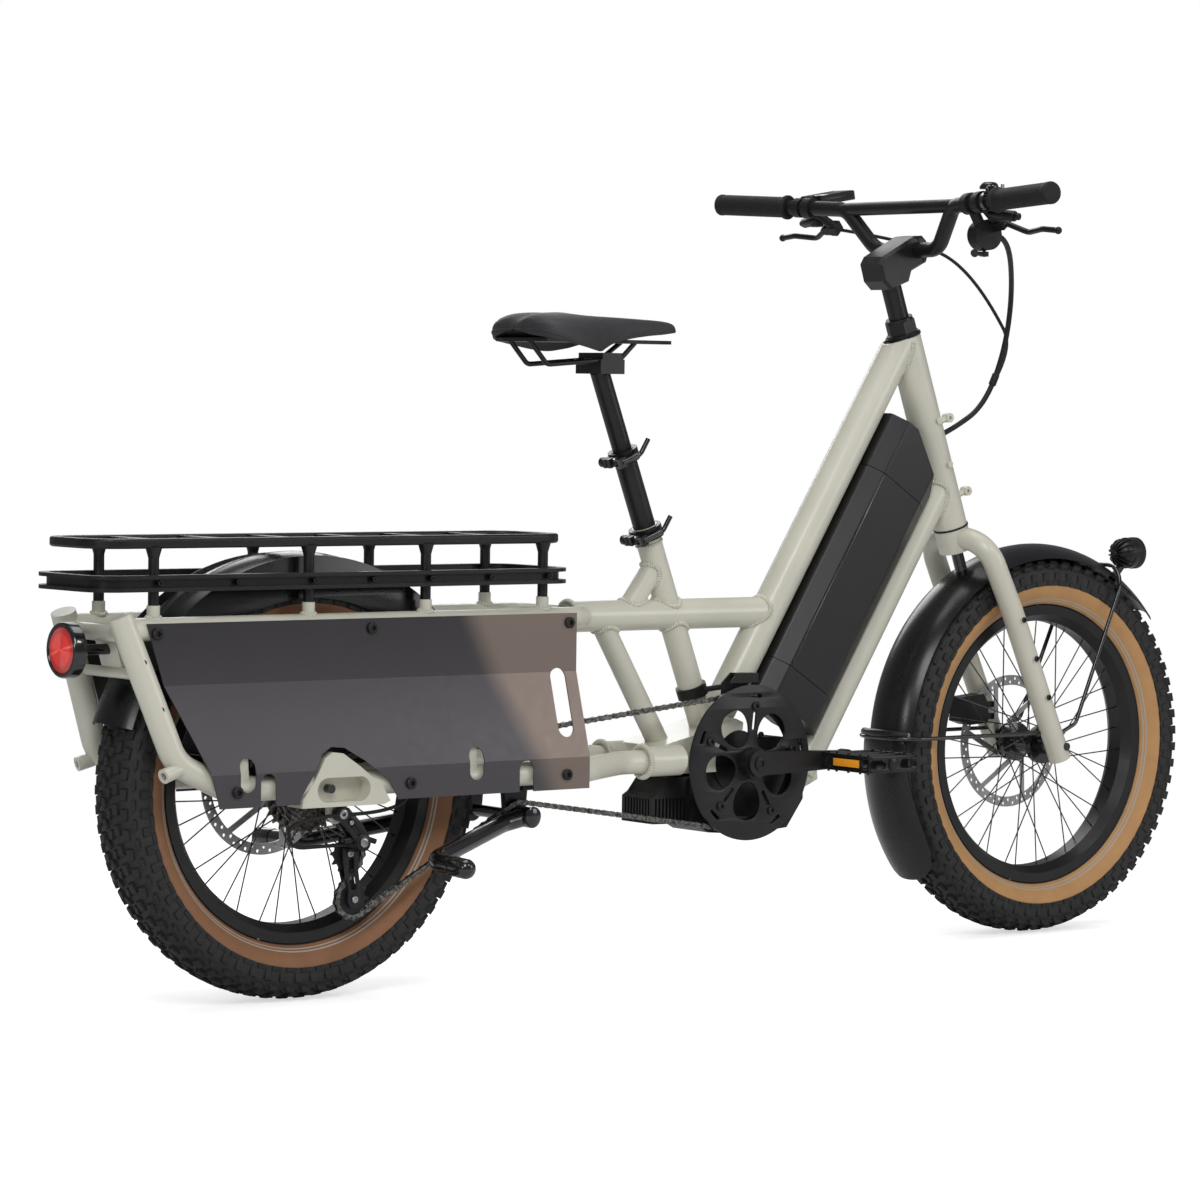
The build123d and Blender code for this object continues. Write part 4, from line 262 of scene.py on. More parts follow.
def make_finishes(paint, tyre):
    """All materials, named for what they finish."""
    cream = Finish("cream powder coat", paint.frame, 0.34, coat=0.35, coat_roughness=0.14)
    cloud = cream.noise(9, 3)
    cream.set("Base Color", cream.blend(cloud.ramp(0.3, 0.7), shade(paint.frame, 0.95), shade(paint.frame, 1.03)))
    cream.set("Roughness", 0.30 + 0.10 * cream.noise(55, 2))
    cream.bump(cream.noise(900, 2), 0.00012, 0.5)
    FINISHES["frame"] = cream

    weld = Finish("cream weld bead", shade(paint.frame, 0.96), 0.3, coat=0.4, coat_roughness=0.12)
    weld.bump(weld.noise(700, 2), 0.0002, 0.5)
    FINISHES["weld"] = weld

    satin = Finish("satin black paint", paint.black, 0.33, coat=0.1, coat_roughness=0.2, specular=0.34)
    satin.set("Roughness", 0.32 + 0.12 * satin.noise(40, 2))
    satin.set("Base Color", satin.blend(satin.noise(14, 3).ramp(0.35, 0.7), paint.black, shade(paint.black, 1.5)))
    satin.bump(satin.noise(1400, 2), 0.0001, 0.45)
    FINISHES["satin"] = satin

    fender = Finish("satin fender plastic", shade(paint.black, 0.9), 0.27, coat=0.2, coat_roughness=0.2,
                    specular=0.36)
    fender.set("Roughness", 0.23 + 0.1 * fender.noise(30, 3))
    fender.bump(fender.noise(900, 2), 0.00008, 0.4)
    FINISHES["fender"] = fender

    gloss = Finish("gloss black enamel", shade(paint.black, 0.8), 0.2, coat=0.6, coat_roughness=0.08)
    gloss.set("Roughness", 0.17 + 0.08 * gloss.noise(60, 2))
    gloss.bump(gloss.noise(500, 2), 0.00008, 0.4)
    FINISHES["gloss"] = gloss

    panel = Finish("charcoal sheet metal", paint.panel, 0.36, metallic=0.55)
    x, y, z = panel.axes(REAR)
    soft = panel.noise(5, 2)
    # Painted reflection: a brownish patch is blended into the panel's colour towards its front end, standing in for a
    # reflection on the sheet metal.
    painted_reflection = (x + 0.5 * z).ramp(0.315, 0.365) * 0.9
    # Painted shade and light: the panel's colour runs from dark at the top to light towards the bottom, as the light
    # falls on its folded faces, with a little random tone from noise.
    sheen = z.ramp(0.24, 0.04) * 0.8 + 0.2 * soft
    colour = panel.blend(sheen, shade(paint.panel, 0.75), shade(paint.panel, 1.7))
    panel.set("Base Color", panel.blend(painted_reflection, colour, (0.235, 0.185, 0.155)))
    panel.set("Roughness", 0.32 + 0.12 * panel.noise(70, 2))
    panel.bump(panel.noise(1600, 2), 0.0001, 0.5)
    FINISHES["panel"] = panel

    plastic = Finish("moulded black plastic", (0.010, 0.010, 0.0105), 0.42, specular=0.34)
    plastic.set("Roughness", 0.44 + 0.14 * plastic.noise(80, 2))
    plastic.bump(plastic.cells(1500), 0.00012, 0.5)
    FINISHES["plastic"] = plastic

    case = Finish("battery case", (0.009, 0.0085, 0.0095), 0.3, coat=0.15, coat_roughness=0.25, specular=0.4)
    case.set("Roughness", 0.30 + 0.12 * case.noise(35, 2))
    case.bump(case.noise(1100, 2), 0.00012, 0.5)
    FINISHES["case"] = case

    steel = Finish("brushed steel", (0.42, 0.42, 0.41), 0.3, metallic=1.0)
    steel.set("Roughness", 0.24 + 0.16 * steel.noise(160, 3))
    steel.set("Base Color", steel.blend(steel.noise(25, 3), (0.34, 0.34, 0.33), (0.5, 0.5, 0.49)))
    steel.bump(steel.noise(900, 2), 0.00006, 0.4)
    FINISHES["steel"] = steel

    dark = Finish("blackened steel", (0.035, 0.034, 0.033), 0.38, metallic=0.8)
    dark.set("Roughness", 0.32 + 0.16 * dark.noise(120, 2))
    dark.bump(dark.noise(800, 2), 0.0001, 0.5)
    FINISHES["dark"] = dark

    link = Finish("oiled chain steel", (0.13, 0.125, 0.115), 0.36, metallic=0.9)
    link.set("Base Color", link.blend(link.noise(220, 2).ramp(0.35, 0.7), (0.07, 0.067, 0.062),
                                      (0.25, 0.24, 0.22)))
    link.set("Roughness", 0.3 + 0.2 * link.noise(300, 2))
    link.bump(link.noise(1500, 2), 0.00008, 0.5)
    FINISHES["link"] = link

    for wheel, centre, tan in (("front", FRONT, tyre.tan_front), ("rear", REAR, tyre.tan_rear)):
        wall = Finish(f"{wheel} tyre sidewall", tan, 0.62)
        x, y, z = wall.axes(centre)
        reach = (x * x + z * z).math("SQRT")
        wander = 0.0006 * wall.noise(60, 2)
        skin = wall.blend(wall.noise(30, 4), shade(tan, 0.82), shade(tan, 1.14))
        for low, high in ((0.2152, 0.2166), (0.2186, 0.2202)):
            skin = wall.blend((reach + wander).between(low, high), skin, (0.40, 0.37, 0.32))
        edge = (reach + wander).ramp(0.2385, 0.2400)
        bead = 1 - (reach + wander).ramp(0.2112, 0.2120)
        rubber = wall.blend(wall.noise(45, 3), (0.012, 0.012, 0.012), (0.026, 0.025, 0.025))
        wall.set("Base Color", wall.blend(edge.math("MAXIMUM", bead), skin, rubber))
        wall.set("Roughness", 0.55 + 0.2 * wall.noise(90, 2))
        thread = (reach * 2600).math("SINE")
        wall.bump(thread * 0.3 + wall.noise(500, 3), 0.00022, 0.5)
        FINISHES[f"{wheel} wall"] = wall

    tread = Finish("tread rubber", (0.0115, 0.0115, 0.0115), 0.56, specular=0.36)
    tread.set("Base Color", tread.blend(tread.noise(50, 3), (0.011, 0.011, 0.011), (0.030, 0.029, 0.028)))
    tread.set("Roughness", 0.5 + 0.25 * tread.noise(110, 2))
    tread.bump(tread.noise(420, 3), 0.0003, 0.5)
    FINISHES["tread"] = tread

    grip = Finish("grip rubber", (0.012, 0.012, 0.012), 0.6, specular=0.36)
    x, y, z = grip.axes()
    rings = (y * 1900).math("SINE")
    grip.bump(rings * 0.5 + grip.cells(420), 0.00035, 0.7)
    grip.set("Roughness", 0.58 + 0.16 * grip.noise(60, 2))
    FINISHES["grip"] = grip

    cover = Finish("saddle cover", (0.020, 0.020, 0.022), 0.5, specular=0.42)
    cover.set("Base Color", cover.blend(cover.noise(24, 3), (0.024, 0.024, 0.026), (0.042, 0.042, 0.044)))
    cover.set("Roughness", 0.5 + 0.16 * cover.noise(45, 2))
    cover.bump(cover.cells(700) + 0.4 * cover.noise(1200, 2), 0.00022, 0.6)
    FINISHES["cover"] = cover

    lens = Finish("red lens", paint.lens, 0.16, coat=0.8, coat_roughness=0.05)
    x, y, z = lens.axes(rear(0, 0, 468))
    reach = (y * y + z * z).math("SQRT")
    lens.set("Base Color", lens.blend(reach.ramp(0.019, 0.0245), paint.lens, shade(paint.lens, 0.5)))
    lens.bump((reach * 4200).math("SINE"), 0.0003, 0.3)
    lens.set("Emission Color", paint.lens)
    lens.shader.inputs["Emission Strength"].default_value = 0.22
    FINISHES["lens"] = lens

    amber = Finish("amber reflector", paint.reflector, 0.2, coat=0.8, coat_roughness=0.05)
    amber.bump(amber.cells(600), 0.0004, 0.7)
    # Painted glow: the emission makes the reflectors shine, though they give no light of their own.
    amber.set("Emission Color", paint.reflector)
    amber.shader.inputs["Emission Strength"].default_value = 0.12
    FINISHES["amber"] = amber

    glass = Finish("display glass", (0.012, 0.014, 0.018), 0.08, coat=1.0, coat_roughness=0.03)
    glass.set("Roughness", 0.06 + 0.05 * glass.noise(30, 2))
    FINISHES["glass"] = glass

    lamp = Finish("lamp glass", (0.62, 0.64, 0.66), 0.1, coat=0.8)
    x, y, z = lamp.axes()
    lamp.bump((z * 2400).math("SINE") + (y * 2400).math("SINE"), 0.0003, 0.4)
    FINISHES["lamp"] = lamp

    mark = Finish("white scale print", (0.6, 0.6, 0.58), 0.5)
    mark.set("Roughness", 0.45 + 0.1 * mark.noise(90, 2))
    FINISHES["mark"] = mark


# --- Modelling helpers ---
def deselect():
    if bpy.context.object and bpy.context.object.mode != "OBJECT":
        bpy.ops.object.mode_set(mode="OBJECT")
    bpy.ops.object.select_all(action="DESELECT")


def pick(obj):
    """Select one object alone and make it the active one."""
    deselect()
    obj.select_set(True)
    bpy.context.view_layer.objects.active = obj


def settle(obj, name):
    """Name an object and move its place into its mesh."""
    obj.name = name
    pick(obj)
    bpy.ops.object.transform_apply(location=True, rotation=True, scale=True)
    return obj


def turned(direction):
    """The rotation that takes +Z onto a direction."""
    return Vector(direction).normalized().to_track_quat("Z", "Y").to_euler()


def bar(start, end, radius, name="bar", sides=24, bevel=0.0, end_radius=None):
    """A round bar between two points, with softened ends, tapered where an end radius is given."""
    deselect()
    start, end = Vector(start), Vector(end)
    length = (end - start).length
    bpy.ops.mesh.primitive_cone_add(vertices=sides, radius1=radius,
                                    radius2=radius if end_radius is None else end_radius, depth=length,
                                    location=(start + end) / 2, rotation=turned(end - start))
    obj = settle(bpy.context.object, name)
    if bevel:
        soften(obj, bevel)
    return obj


def block(centre, size, name="block", bevel=0.0, rotation=(0, 0, 0)):
    """A box of a size at a place, with softened edges."""
    deselect()
    bpy.ops.mesh.primitive_cube_add(size=1, location=centre, rotation=rotation)
    obj = bpy.context.object
    obj.scale = size
    settle(obj, name)
    if bevel:
        soften(obj, bevel)
    return obj


def soften(obj, width, segments=2, angle=40):
    """Bevel the sharp edges."""
    modifier = obj.modifiers.new("soft edges", "BEVEL")
    modifier.width = width
    modifier.segments = segments
    modifier.limit_method = "ANGLE"
    modifier.angle_limit = radians(angle)
    pick(obj)
    bpy.ops.object.modifier_apply(modifier=modifier.name)


def spun(profile, centre, axis, steps, name):
    """Turn a row of (radius, along) pairs round an axis through a centre; closed where the row is."""
    deselect()
    axis = Vector(axis).normalized()
    out = axis.orthogonal().normalized()
    bpy.ops.mesh.primitive_circle_add(vertices=len(profile), radius=1)
    obj = bpy.context.object
    for vertex, (radius, along) in zip(obj.data.vertices, profile):
        vertex.co = Vector(centre) + out * radius + axis * along
    bpy.ops.object.mode_set(mode="EDIT")
    bpy.ops.mesh.select_all(action="SELECT")
    bpy.ops.mesh.spin(steps=steps, angle=tau, center=centre, axis=axis)
    bpy.ops.mesh.select_all(action="SELECT")
    bpy.ops.mesh.remove_doubles(threshold=1e-6)
    bpy.ops.mesh.delete_loose()
    bpy.ops.mesh.select_all(action="SELECT")
    bpy.ops.mesh.normals_make_consistent(inside=False)
    bpy.ops.object.mode_set(mode="OBJECT")
    return settle(obj, name)


def meshed(curve, name):
    """A mesh object from a curve."""
    obj = bpy.data.objects.new(name, curve)
    bpy.context.collection.objects.link(obj)
    pick(obj)
    bpy.ops.object.convert(target="MESH")
    return bpy.context.object


def swept(points, radius, name, closed=False, sides=3, radii=None):
    """A round wire along a row of points, thick as radii say where they are given."""
    curve = bpy.data.curves.new(name, "CURVE")
    curve.dimensions = "3D"
    curve.bevel_depth = radius
    curve.bevel_resolution = sides
    curve.use_fill_caps = not closed
    spline = curve.splines.new("POLY")
    spline.points.add(len(points) - 1)
    for i, point in enumerate(points):
        spline.points[i].co = (*point, 1)
        spline.points[i].radius = radii[i] if radii else 1
    spline.use_cyclic_u = closed
    return meshed(curve, name)


def plate(outline, holes, thick, bevel, name):
    """A flat piece with holes, upright in X and Z round Y 0, from rows of (x, z) points in millimetres."""
    curve = bpy.data.curves.new(name, "CURVE")
    curve.dimensions = "2D"
    curve.fill_mode = "BOTH"
    curve.extrude = (thick / 2 - bevel) * MM
    curve.bevel_depth = bevel * MM
    curve.bevel_resolution = 1
    curve.offset = -bevel * MM
    for row in [outline] + holes:
        spline = curve.splines.new("POLY")
        spline.points.add(len(row) - 1)
        for point, (x, z) in zip(spline.points, row):
            point.co = (x * MM, z * MM, 0, 1)
        spline.use_cyclic_u = True
    obj = meshed(curve, name)
    obj.data.transform(Matrix.Rotation(pi / 2, 4, "X"))
    bpy.ops.object.mode_set(mode="EDIT")
    bpy.ops.mesh.select_all(action="SELECT")
    bpy.ops.mesh.remove_doubles(threshold=1e-6)
    bpy.ops.mesh.select_all(action="SELECT")
    bpy.ops.mesh.normals_make_consistent(inside=False)
    bpy.ops.object.mode_set(mode="OBJECT")
    return obj


def disc(x, z, radius, steps=32):
    """A circle's points."""
    return [(x + radius * cos(tau * i / steps), z + radius * sin(tau * i / steps)) for i in range(steps)]


def slot_row(a, b, radius, steps=10):
    """A rounded slot's points from a to b."""
    turn = math.atan2(b[1] - a[1], b[0] - a[0])
    ends = [(b, turn - pi / 2), (a, turn + pi / 2)]
    return [(p[0] + radius * cos(start + pi * i / steps), p[1] + radius * sin(start + pi * i / steps))
            for p, start in ends for i in range(steps + 1)]


def moved(obj, x, y, z, turn=0):
    """Turn a piece about Y and move its mesh, in millimetres from the rear axle's foot."""
    obj.data.transform(Matrix.Translation(rear(x, y, z)) @ Matrix.Rotation(turn, 4, "Y"))
    return obj


def copies(obj, places, name):
    """One copy of a piece at each matrix, all joined; the first piece is used up."""
    made = []
    for place in places:
        twin = obj.copy()
        twin.data = obj.data.copy()
        twin.data.transform(place)
        bpy.context.collection.objects.link(twin)
        made.append(twin)
    bpy.data.objects.remove(obj)
    return joined(made, name)


def joined(objects, name):
    """Join pieces into one."""
    deselect()
    for obj in objects:
        obj.select_set(True)
    bpy.context.view_layer.objects.active = objects[0]
    if len(objects) > 1:
        bpy.ops.object.join()
    obj = bpy.context.object
    obj.name = name
    return obj


def dress(obj, finish, body, smooth=35, replaces=()):
    """Give a piece its finish and its place among the moving bodies."""
    if finish:
        obj.data.materials.clear()
        obj.data.materials.append(FINISHES[finish].material)
    pick(obj)
    bpy.ops.object.shade_smooth_by_angle(angle=radians(smooth))
    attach(obj, body)
    if replaces:
        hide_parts(*replaces)
    return obj


# --- Finishes of the solids that stay in view ---
NODE_FINISHES = {
    "frame": ["main_frame", "rear_frame", "fork"],
    "fender": ["rear_fender", "front_fender"],
    "satin": ["rack", "rack_channel", "motor_unit", "kickstand_bracket",
              "rear_caliper", "front_caliper", "seat_collar_lower", "seat_collar_upper", "derailleur", "stem",
              "handlebar", "brake_lever_right", "brake_lever_left", "pedal_right", "pedal_left", "front_rim",
              "rear_rim", "crank_right", "crank_left", "chain_guard", "seatpost_lower", "seatpost_upper"],
    "gloss": ["kickstand", "fender_stays", "qr_lever_upper", "qr_lever_lower", "front_hub", "rear_hub", "bell",
              "tail_lamp_housing"],
    "panel": ["side_panels"],
    "case": ["battery", "battery_covers"],
    "plastic": ["chain_guide", "headlamp", "brake_perches", "shifter", "display", "shift_lever",
                "jockey_upper", "jockey_lower"],
    "grip": ["grips"],
    "steel": ["front_rotor", "rear_rotor", "bell_striker"],
    "dark": ["panel_bolts", "chainring", "derailleur_cable", "cable_loom"],
    "link": ["chain", "cassette"],
    "lens": ["tail_lamp_lens"],
    "cover": ["saddle"],
    "tread": ["front_tyre", "rear_tyre"],
}


class CARGO_OT_finishes(bpy.types.Operator):
    """Give every solid its finish"""

    bl_idname = "cargo.finishes"
    bl_label = "Finishes"

    def execute(self, context):
        scene = context.scene
        make_finishes(scene.cargo_paint, scene.cargo_tyre)
        for finish, nodes in NODE_FINISHES.items():
            for node in nodes:
                mesh = frame["nodes"][node].data
                mesh.materials.clear()
                mesh.materials.append(FINISHES[finish].material)
        return {"FINISHED"}


# --- Stage ---
CAMERA_PLACE = (-3.886, -4.7286, 0.8067)
CAMERA_YAW = radians(38.783)
CAMERA_PITCH = radians(-3.03)
CAMERA_ROLL = radians(0.825)
CAMERA_LENS = 130.83
CAMERA_SHIFT = (-0.01663, 0.01734)
FLOOR_LIFT = 0.62


def lamp(name, place, target, size, power):
    """A square soft light aimed at a point."""
    data = bpy.data.lights.new(name, "AREA")
    data.size = size
    data.energy = power
    obj = bpy.data.objects.new(name, data)
    obj.location = place
    obj.rotation_euler = (Vector(target) - Vector(place)).to_track_quat("-Z", "Y").to_euler()
    bpy.context.collection.objects.link(obj)
    return obj


class CARGO_OT_stage(bpy.types.Operator):
    """Add the pale floor, the soft studio lights and the camera"""

    bl_idname = "cargo.stage"
    bl_label = "Stage"

    def execute(self, context):
        scene = context.scene
        scene.view_settings.view_transform = "Standard"
        deselect()
        bpy.ops.mesh.primitive_plane_add(size=60, location=(0, 0, -0.0005))
        floor = settle(context.object, "floor")
        pale = Finish("pale floor", (0.8, 0.8, 0.8), 0.8, specular=0.1)
        x, y, _ = pale.axes()
        far = (x * x + y * y).math("SQRT").ramp(1.0, 2.2)
        seen = pale.node("ShaderNodeLightPath", {}, {}, "Is Camera Ray")
        white = pale.node("ShaderNodeEmission", {}, {"Color": (1, 1, 1), "Strength": 1.0})
        lift = pale.node("ShaderNodeEmission", {}, {"Color": (1, 1, 1), "Strength": seen * FLOOR_LIFT})
        near = pale.node("ShaderNodeAddShader", {}, {0: Value(pale, pale.shader.outputs[0]), 1: lift})
        ground = pale.node("ShaderNodeMixShader", {}, {0: far * seen, 1: near, 2: white})
        pale.join(pale.tree.nodes["Material Output"].inputs["Surface"], ground)
        floor.data.materials.append(pale.material)

        world = bpy.data.worlds.new("studio")
        scene.world = world
        world.use_nodes = True
        tree = world.node_tree
        soft = tree.nodes["Background"]
        soft.inputs["Color"].default_value = (0.93, 0.95, 1, 1)
        soft.inputs["Strength"].default_value = 0.20
        white = tree.nodes.new("ShaderNodeBackground")
        white.inputs["Color"].default_value = (1, 1, 1, 1)
        white.inputs["Strength"].default_value = 1.0
        path = tree.nodes.new("ShaderNodeLightPath")
        mix = tree.nodes.new("ShaderNodeMixShader")
        tree.links.new(path.outputs["Is Camera Ray"], mix.inputs[0])
        tree.links.new(soft.outputs[0], mix.inputs[1])
        tree.links.new(white.outputs[0], mix.inputs[2])
        tree.links.new(mix.outputs[0], tree.nodes["World Output"].inputs["Surface"])
        lamp("key", (-2.6, -3.6, 3.4), (0, 0, 0.5), 1.8, 78)
        lamp("fill", (2.8, -3.4, 1.6), (0.3, 0, 0.5), 1.6, 26)
        lamp("rim", (1.5, 3.4, 2.6), (0, 0, 0.6), 2.2, 44)
        lamp("top", (0, 0, 4.2), (0, 0, 0.4), 2.6, 62)
        lamp("strip", (-4.2, -2.2, 1.7), (0, 0, 0.5), 0.7, 22)
        lamp("glint", (0.9, -3.8, 3.2), (0.3, 0, 0.5), 0.5, 20)

        yaw, pitch, roll = CAMERA_YAW, CAMERA_PITCH, CAMERA_ROLL
        ahead = Vector((sin(yaw) * cos(pitch), cos(yaw) * cos(pitch), sin(pitch)))
        level = Vector((cos(yaw), -sin(yaw), 0))
        upright = level.cross(ahead)
        right = level * cos(roll) + upright * sin(roll)
        up = upright * cos(roll) - level * sin(roll)
        data = bpy.data.cameras.new("camera")
        data.sensor_width = 36
        data.lens = CAMERA_LENS
        data.shift_x, data.shift_y = CAMERA_SHIFT
        data.clip_end = 100
        camera = bpy.data.objects.new("camera", data)
        camera.matrix_world = Matrix((right, up, -ahead)).transposed().to_4x4()
        camera.location = CAMERA_PLACE
        context.collection.objects.link(camera)
        scene.camera = camera
        return {"FINISHED"}


# --- Tyres ---
def tyre_profile(radius, half, tread):
    """The carcass section as (radius, along) pairs, closed: outside from bead to bead, then inside."""
    crown = radius - tread
    outside = [(0.2094, 0.0245), (0.2150, 0.0300), (0.2240, 0.0372), (0.2350, 0.0420), (0.2460, half - 0.0015),
               (0.2560, half - 0.0018), (0.2640, 0.0410), (0.2710, 0.0345), (0.2755, 0.0250), (crown - 0.0008, 0.0130),
               (crown, 0.0)]
    outline = outside + [(r, -y) for r, y in reversed(outside[:-1])]
    inside = [(0.2094, 0.0180), (0.2200, 0.0310), (0.2420, 0.0385), (0.2600, 0.0350), (0.2700, 0.0200),
              (0.2722, 0.0)]
    lining = inside + [(r, -y) for r, y in reversed(inside[:-1])]
    return outline + list(reversed(lining))


def tread_block(along, width, length, tilt, radius, depth, lean):
    """One rubber block, tapered to its top, on the tyre's crown straight above the axle."""
    deselect()
    bpy.ops.mesh.primitive_cube_add(size=1)
    obj = bpy.context.object
    obj.scale = (length, width, depth + 0.003)
    settle(obj, "tread block")
    for vertex in obj.data.vertices:
        if vertex.co.z > 0:
            vertex.co.x *= 0.80
            vertex.co.y *= 0.84
    soften(obj, 0.0006, 1)
    turn = Matrix.Rotation(tilt, 4, "Z")
    roll = Matrix.Rotation(-lean, 4, "X")
    place = Matrix.Translation((0, along, radius - (depth + 0.003) / 2))
    obj.data.transform(place @ roll @ turn)
    return obj


def round_wheel(centre, count, phase):
    """Evenly turned places round a wheel, the first one phase steps on."""
    step = tau / count
    return [Matrix.Translation(centre) @ Matrix.Rotation((i + phase) * step, 4, "Y") for i in range(count)]


def make_tyre(wheel, centre, body, sizes):
    """Carcass, tread rows, shoulder knobs and moulding ribs of one tyre."""
    carcass = spun(tyre_profile(sizes.radius, sizes.half_width, sizes.tread), centre, (0, 1, 0), 180,
                   f"{wheel}_tyre_carcass")
    dress(carcass, f"{wheel} wall", body, 60, (f"{wheel}_tyre",))
    count = sizes.blocks
    # place along the axle, width, length, tilt, radius, lean, phase
    rows = [(0.0055, 0.0075, 0.0150, 0.35, 0.2838, 0.0, 0.0),
            (-0.0055, 0.0075, 0.0150, -0.35, 0.2838, 0.0, 0.5),
            (0.0170, 0.0105, 0.0165, -0.12, 0.2824, 0.16, 0.25),
            (-0.0170, 0.0105, 0.0165, 0.12, 0.2824, -0.16, 0.75),
            (0.0298, 0.0110, 0.0170, 0.10, 0.2778, 0.48, 0.0),
            (-0.0298, 0.0110, 0.0170, -0.10, 0.2778, -0.48, 0.5)]
    made = []
    for along, width, length, tilt, radius, lean, phase in rows:
        piece = tread_block(along, width, length, tilt, radius, sizes.tread, lean)
        made.append(copies(piece, round_wheel(centre, count, phase), "tread row"))
    # size, place along the axle and out from it, lean, phase
    lugs = [((0.0125, 0.0040, 0.0140), (0.0405, 0.2655), 0.78, 0.0),
            ((0.0110, 0.0034, 0.0120), (0.0438, 0.2525), 0.12, 0.5),
            ((0.0150, 0.0026, 0.0060), (0.0436, 0.2425), -0.10, 0.0)]
    for side in (1, -1):
        for size, (along, radius), lean, phase in lugs:
            knob = block((0, 0, 0), size, "shoulder knob", 0.0006)
            knob.data.transform(Matrix.Translation((0, side * along, radius)) @ Matrix.Rotation(-side * lean, 4, "X"))
            phase += 0.5 * (side > 0)
            made.append(copies(knob, round_wheel(centre, count, phase), "shoulder knobs"))
    blocks = joined(made, f"{wheel}_tyre_tread")
    dress(blocks, "tread", body, 30)


class CARGO_OT_tyres(bpy.types.Operator):
    """Add both tyres with tread blocks and tan sidewalls"""

    bl_idname = "cargo.tyres"
    bl_label = "Tyres"

    def execute(self, context):
        make_tyre("front", FRONT, "front_wheel", context.scene.cargo_tyre)
        make_tyre("rear", REAR, "rear_wheel", context.scene.cargo_tyre)
        return {"FINISHED"}


# --- Chain ---
CHAIN_Y = -0.060
CHAIN_PITCH = 0.0127


def pitch_radius(teeth):
    return CHAIN_PITCH / (2 * sin(pi / teeth))


# centre, pitch radius, and 1 where the chain runs round anticlockwise
CHAIN_WHEELS = [(Vector((CRANK.x, CRANK.z)), pitch_radius(48), 1), (Vector((REAR.x, REAR.z)), pitch_radius(12), 1),
                (Vector((REAR.x + 0.052, 0.194)), pitch_radius(12), -1),
                (Vector((REAR.x + 0.060, 0.133)), pitch_radius(12), 1),
                (Vector((REAR.x + 0.335, 0.229)), 0.019, -1)]


def chain_path():
    """The chain's pitch line as points 1 mm apart."""
    runs = []
    for i, (c0, r0, t0) in enumerate(CHAIN_WHEELS):
        c1, r1, t1 = CHAIN_WHEELS[(i + 1) % len(CHAIN_WHEELS)]
        span = (c1 - c0).length
        angle = math.atan2(c1.y - c0.y, c1.x - c0.x) - math.asin((t1 * r1 - t0 * r0) / span)
        normal = Vector((-sin(angle), cos(angle)))
        runs.append((c0 - normal * t0 * r0, c1 - normal * t1 * r1))
    points = []
    for i, (start, end) in enumerate(runs):
        steps = int((end - start).length / MM)
        points += [start.lerp(end, k / steps) for k in range(steps)]
        centre, radius, turn = CHAIN_WHEELS[(i + 1) % len(runs)]
        leave = runs[(i + 1) % len(runs)][0]
        a0 = math.atan2(end.y - centre.y, end.x - centre.x)
        a1 = math.atan2(leave.y - centre.y, leave.x - centre.x)
        sweep = turn * ((turn * (a1 - a0)) % tau)
        steps = max(2, int(abs(sweep) * radius / MM))
        points += [centre + Vector((cos(a0 + sweep * k / steps), sin(a0 + sweep * k / steps))) * radius
                   for k in range(steps)]
    return points


def link_plate(y, length, height, thick):
    """One link plate with rounded ends and a waist, lying along X round the origin."""
    deselect()
    bpy.ops.mesh.primitive_cylinder_add(vertices=20, radius=height / 2, depth=thick, rotation=(pi / 2, 0, 0))
    obj = settle(bpy.context.object, "link plate")
    for vertex in obj.data.vertices:
        vertex.co.x += length / 2 if vertex.co.x > 1e-5 else (-length / 2 if vertex.co.x < -1e-5 else 0)
        if abs(vertex.co.x) < 1e-4:
            vertex.co.z *= 0.68
        vertex.co.y += y
    return obj


class CARGO_OT_chain(bpy.types.Operator):
    """Add the roller chain link by link"""

    bl_idname = "cargo.chain"
    bl_label = "Chain"

    def execute(self, context):
        path = chain_path()
        lengths = [0.0]
        for a, b in zip(path, path[1:] + path[:1]):
            lengths.append(lengths[-1] + (b - a).length)
        total = lengths[-1]
        count = 2 * round(total / CHAIN_PITCH / 2)

        def at(distance):
            distance %= total
            low, high = 0, len(path)
            while high - low > 1:
                middle = (low + high) // 2
                low, high = (middle, high) if lengths[middle] <= distance else (low, middle)
            share = (distance - lengths[low]) / max(1e-9, lengths[low + 1] - lengths[low])
            return path[low % len(path)].lerp(path[(low + 1) % len(path)], share)

        pins = [at(total * i / count) for i in range(count)]
        outer, inner = [], []
        for i, (a, b) in enumerate(zip(pins, pins[1:] + pins[:1])):
            along = b - a
            turn = Matrix.Rotation(-math.atan2(along.y, along.x), 4, "Y")
            middle = (a + b) / 2
            place = Matrix.Translation((middle.x, CHAIN_Y, middle.y)) @ turn
            (outer if i % 2 else inner).append(place)
        plates = []
        for side in (1, -1):
            plates.append(copies(link_plate(side * 0.0030, CHAIN_PITCH, 0.0082, 0.0009), outer, "outer plates"))
            plates.append(copies(link_plate(side * 0.0021, CHAIN_PITCH, 0.0078, 0.0009), inner, "inner plates"))
        roller = bar((0, -0.0019, 0), (0, 0.0019, 0), 0.0038, "roller", 12)
        rivet = bar((0, -0.0037, 0), (0, 0.0037, 0), 0.0018, "rivet", 10)
        places = [Matrix.Translation((p.x, CHAIN_Y, p.y)) for p in pins]
        plates.append(copies(joined([roller, rivet], "roller and rivet"), places, "rollers"))
        chain = joined(plates, "roller_chain")
        dress(chain, "link", "frame", 40, ("chain",))
        return {"FINISHED"}


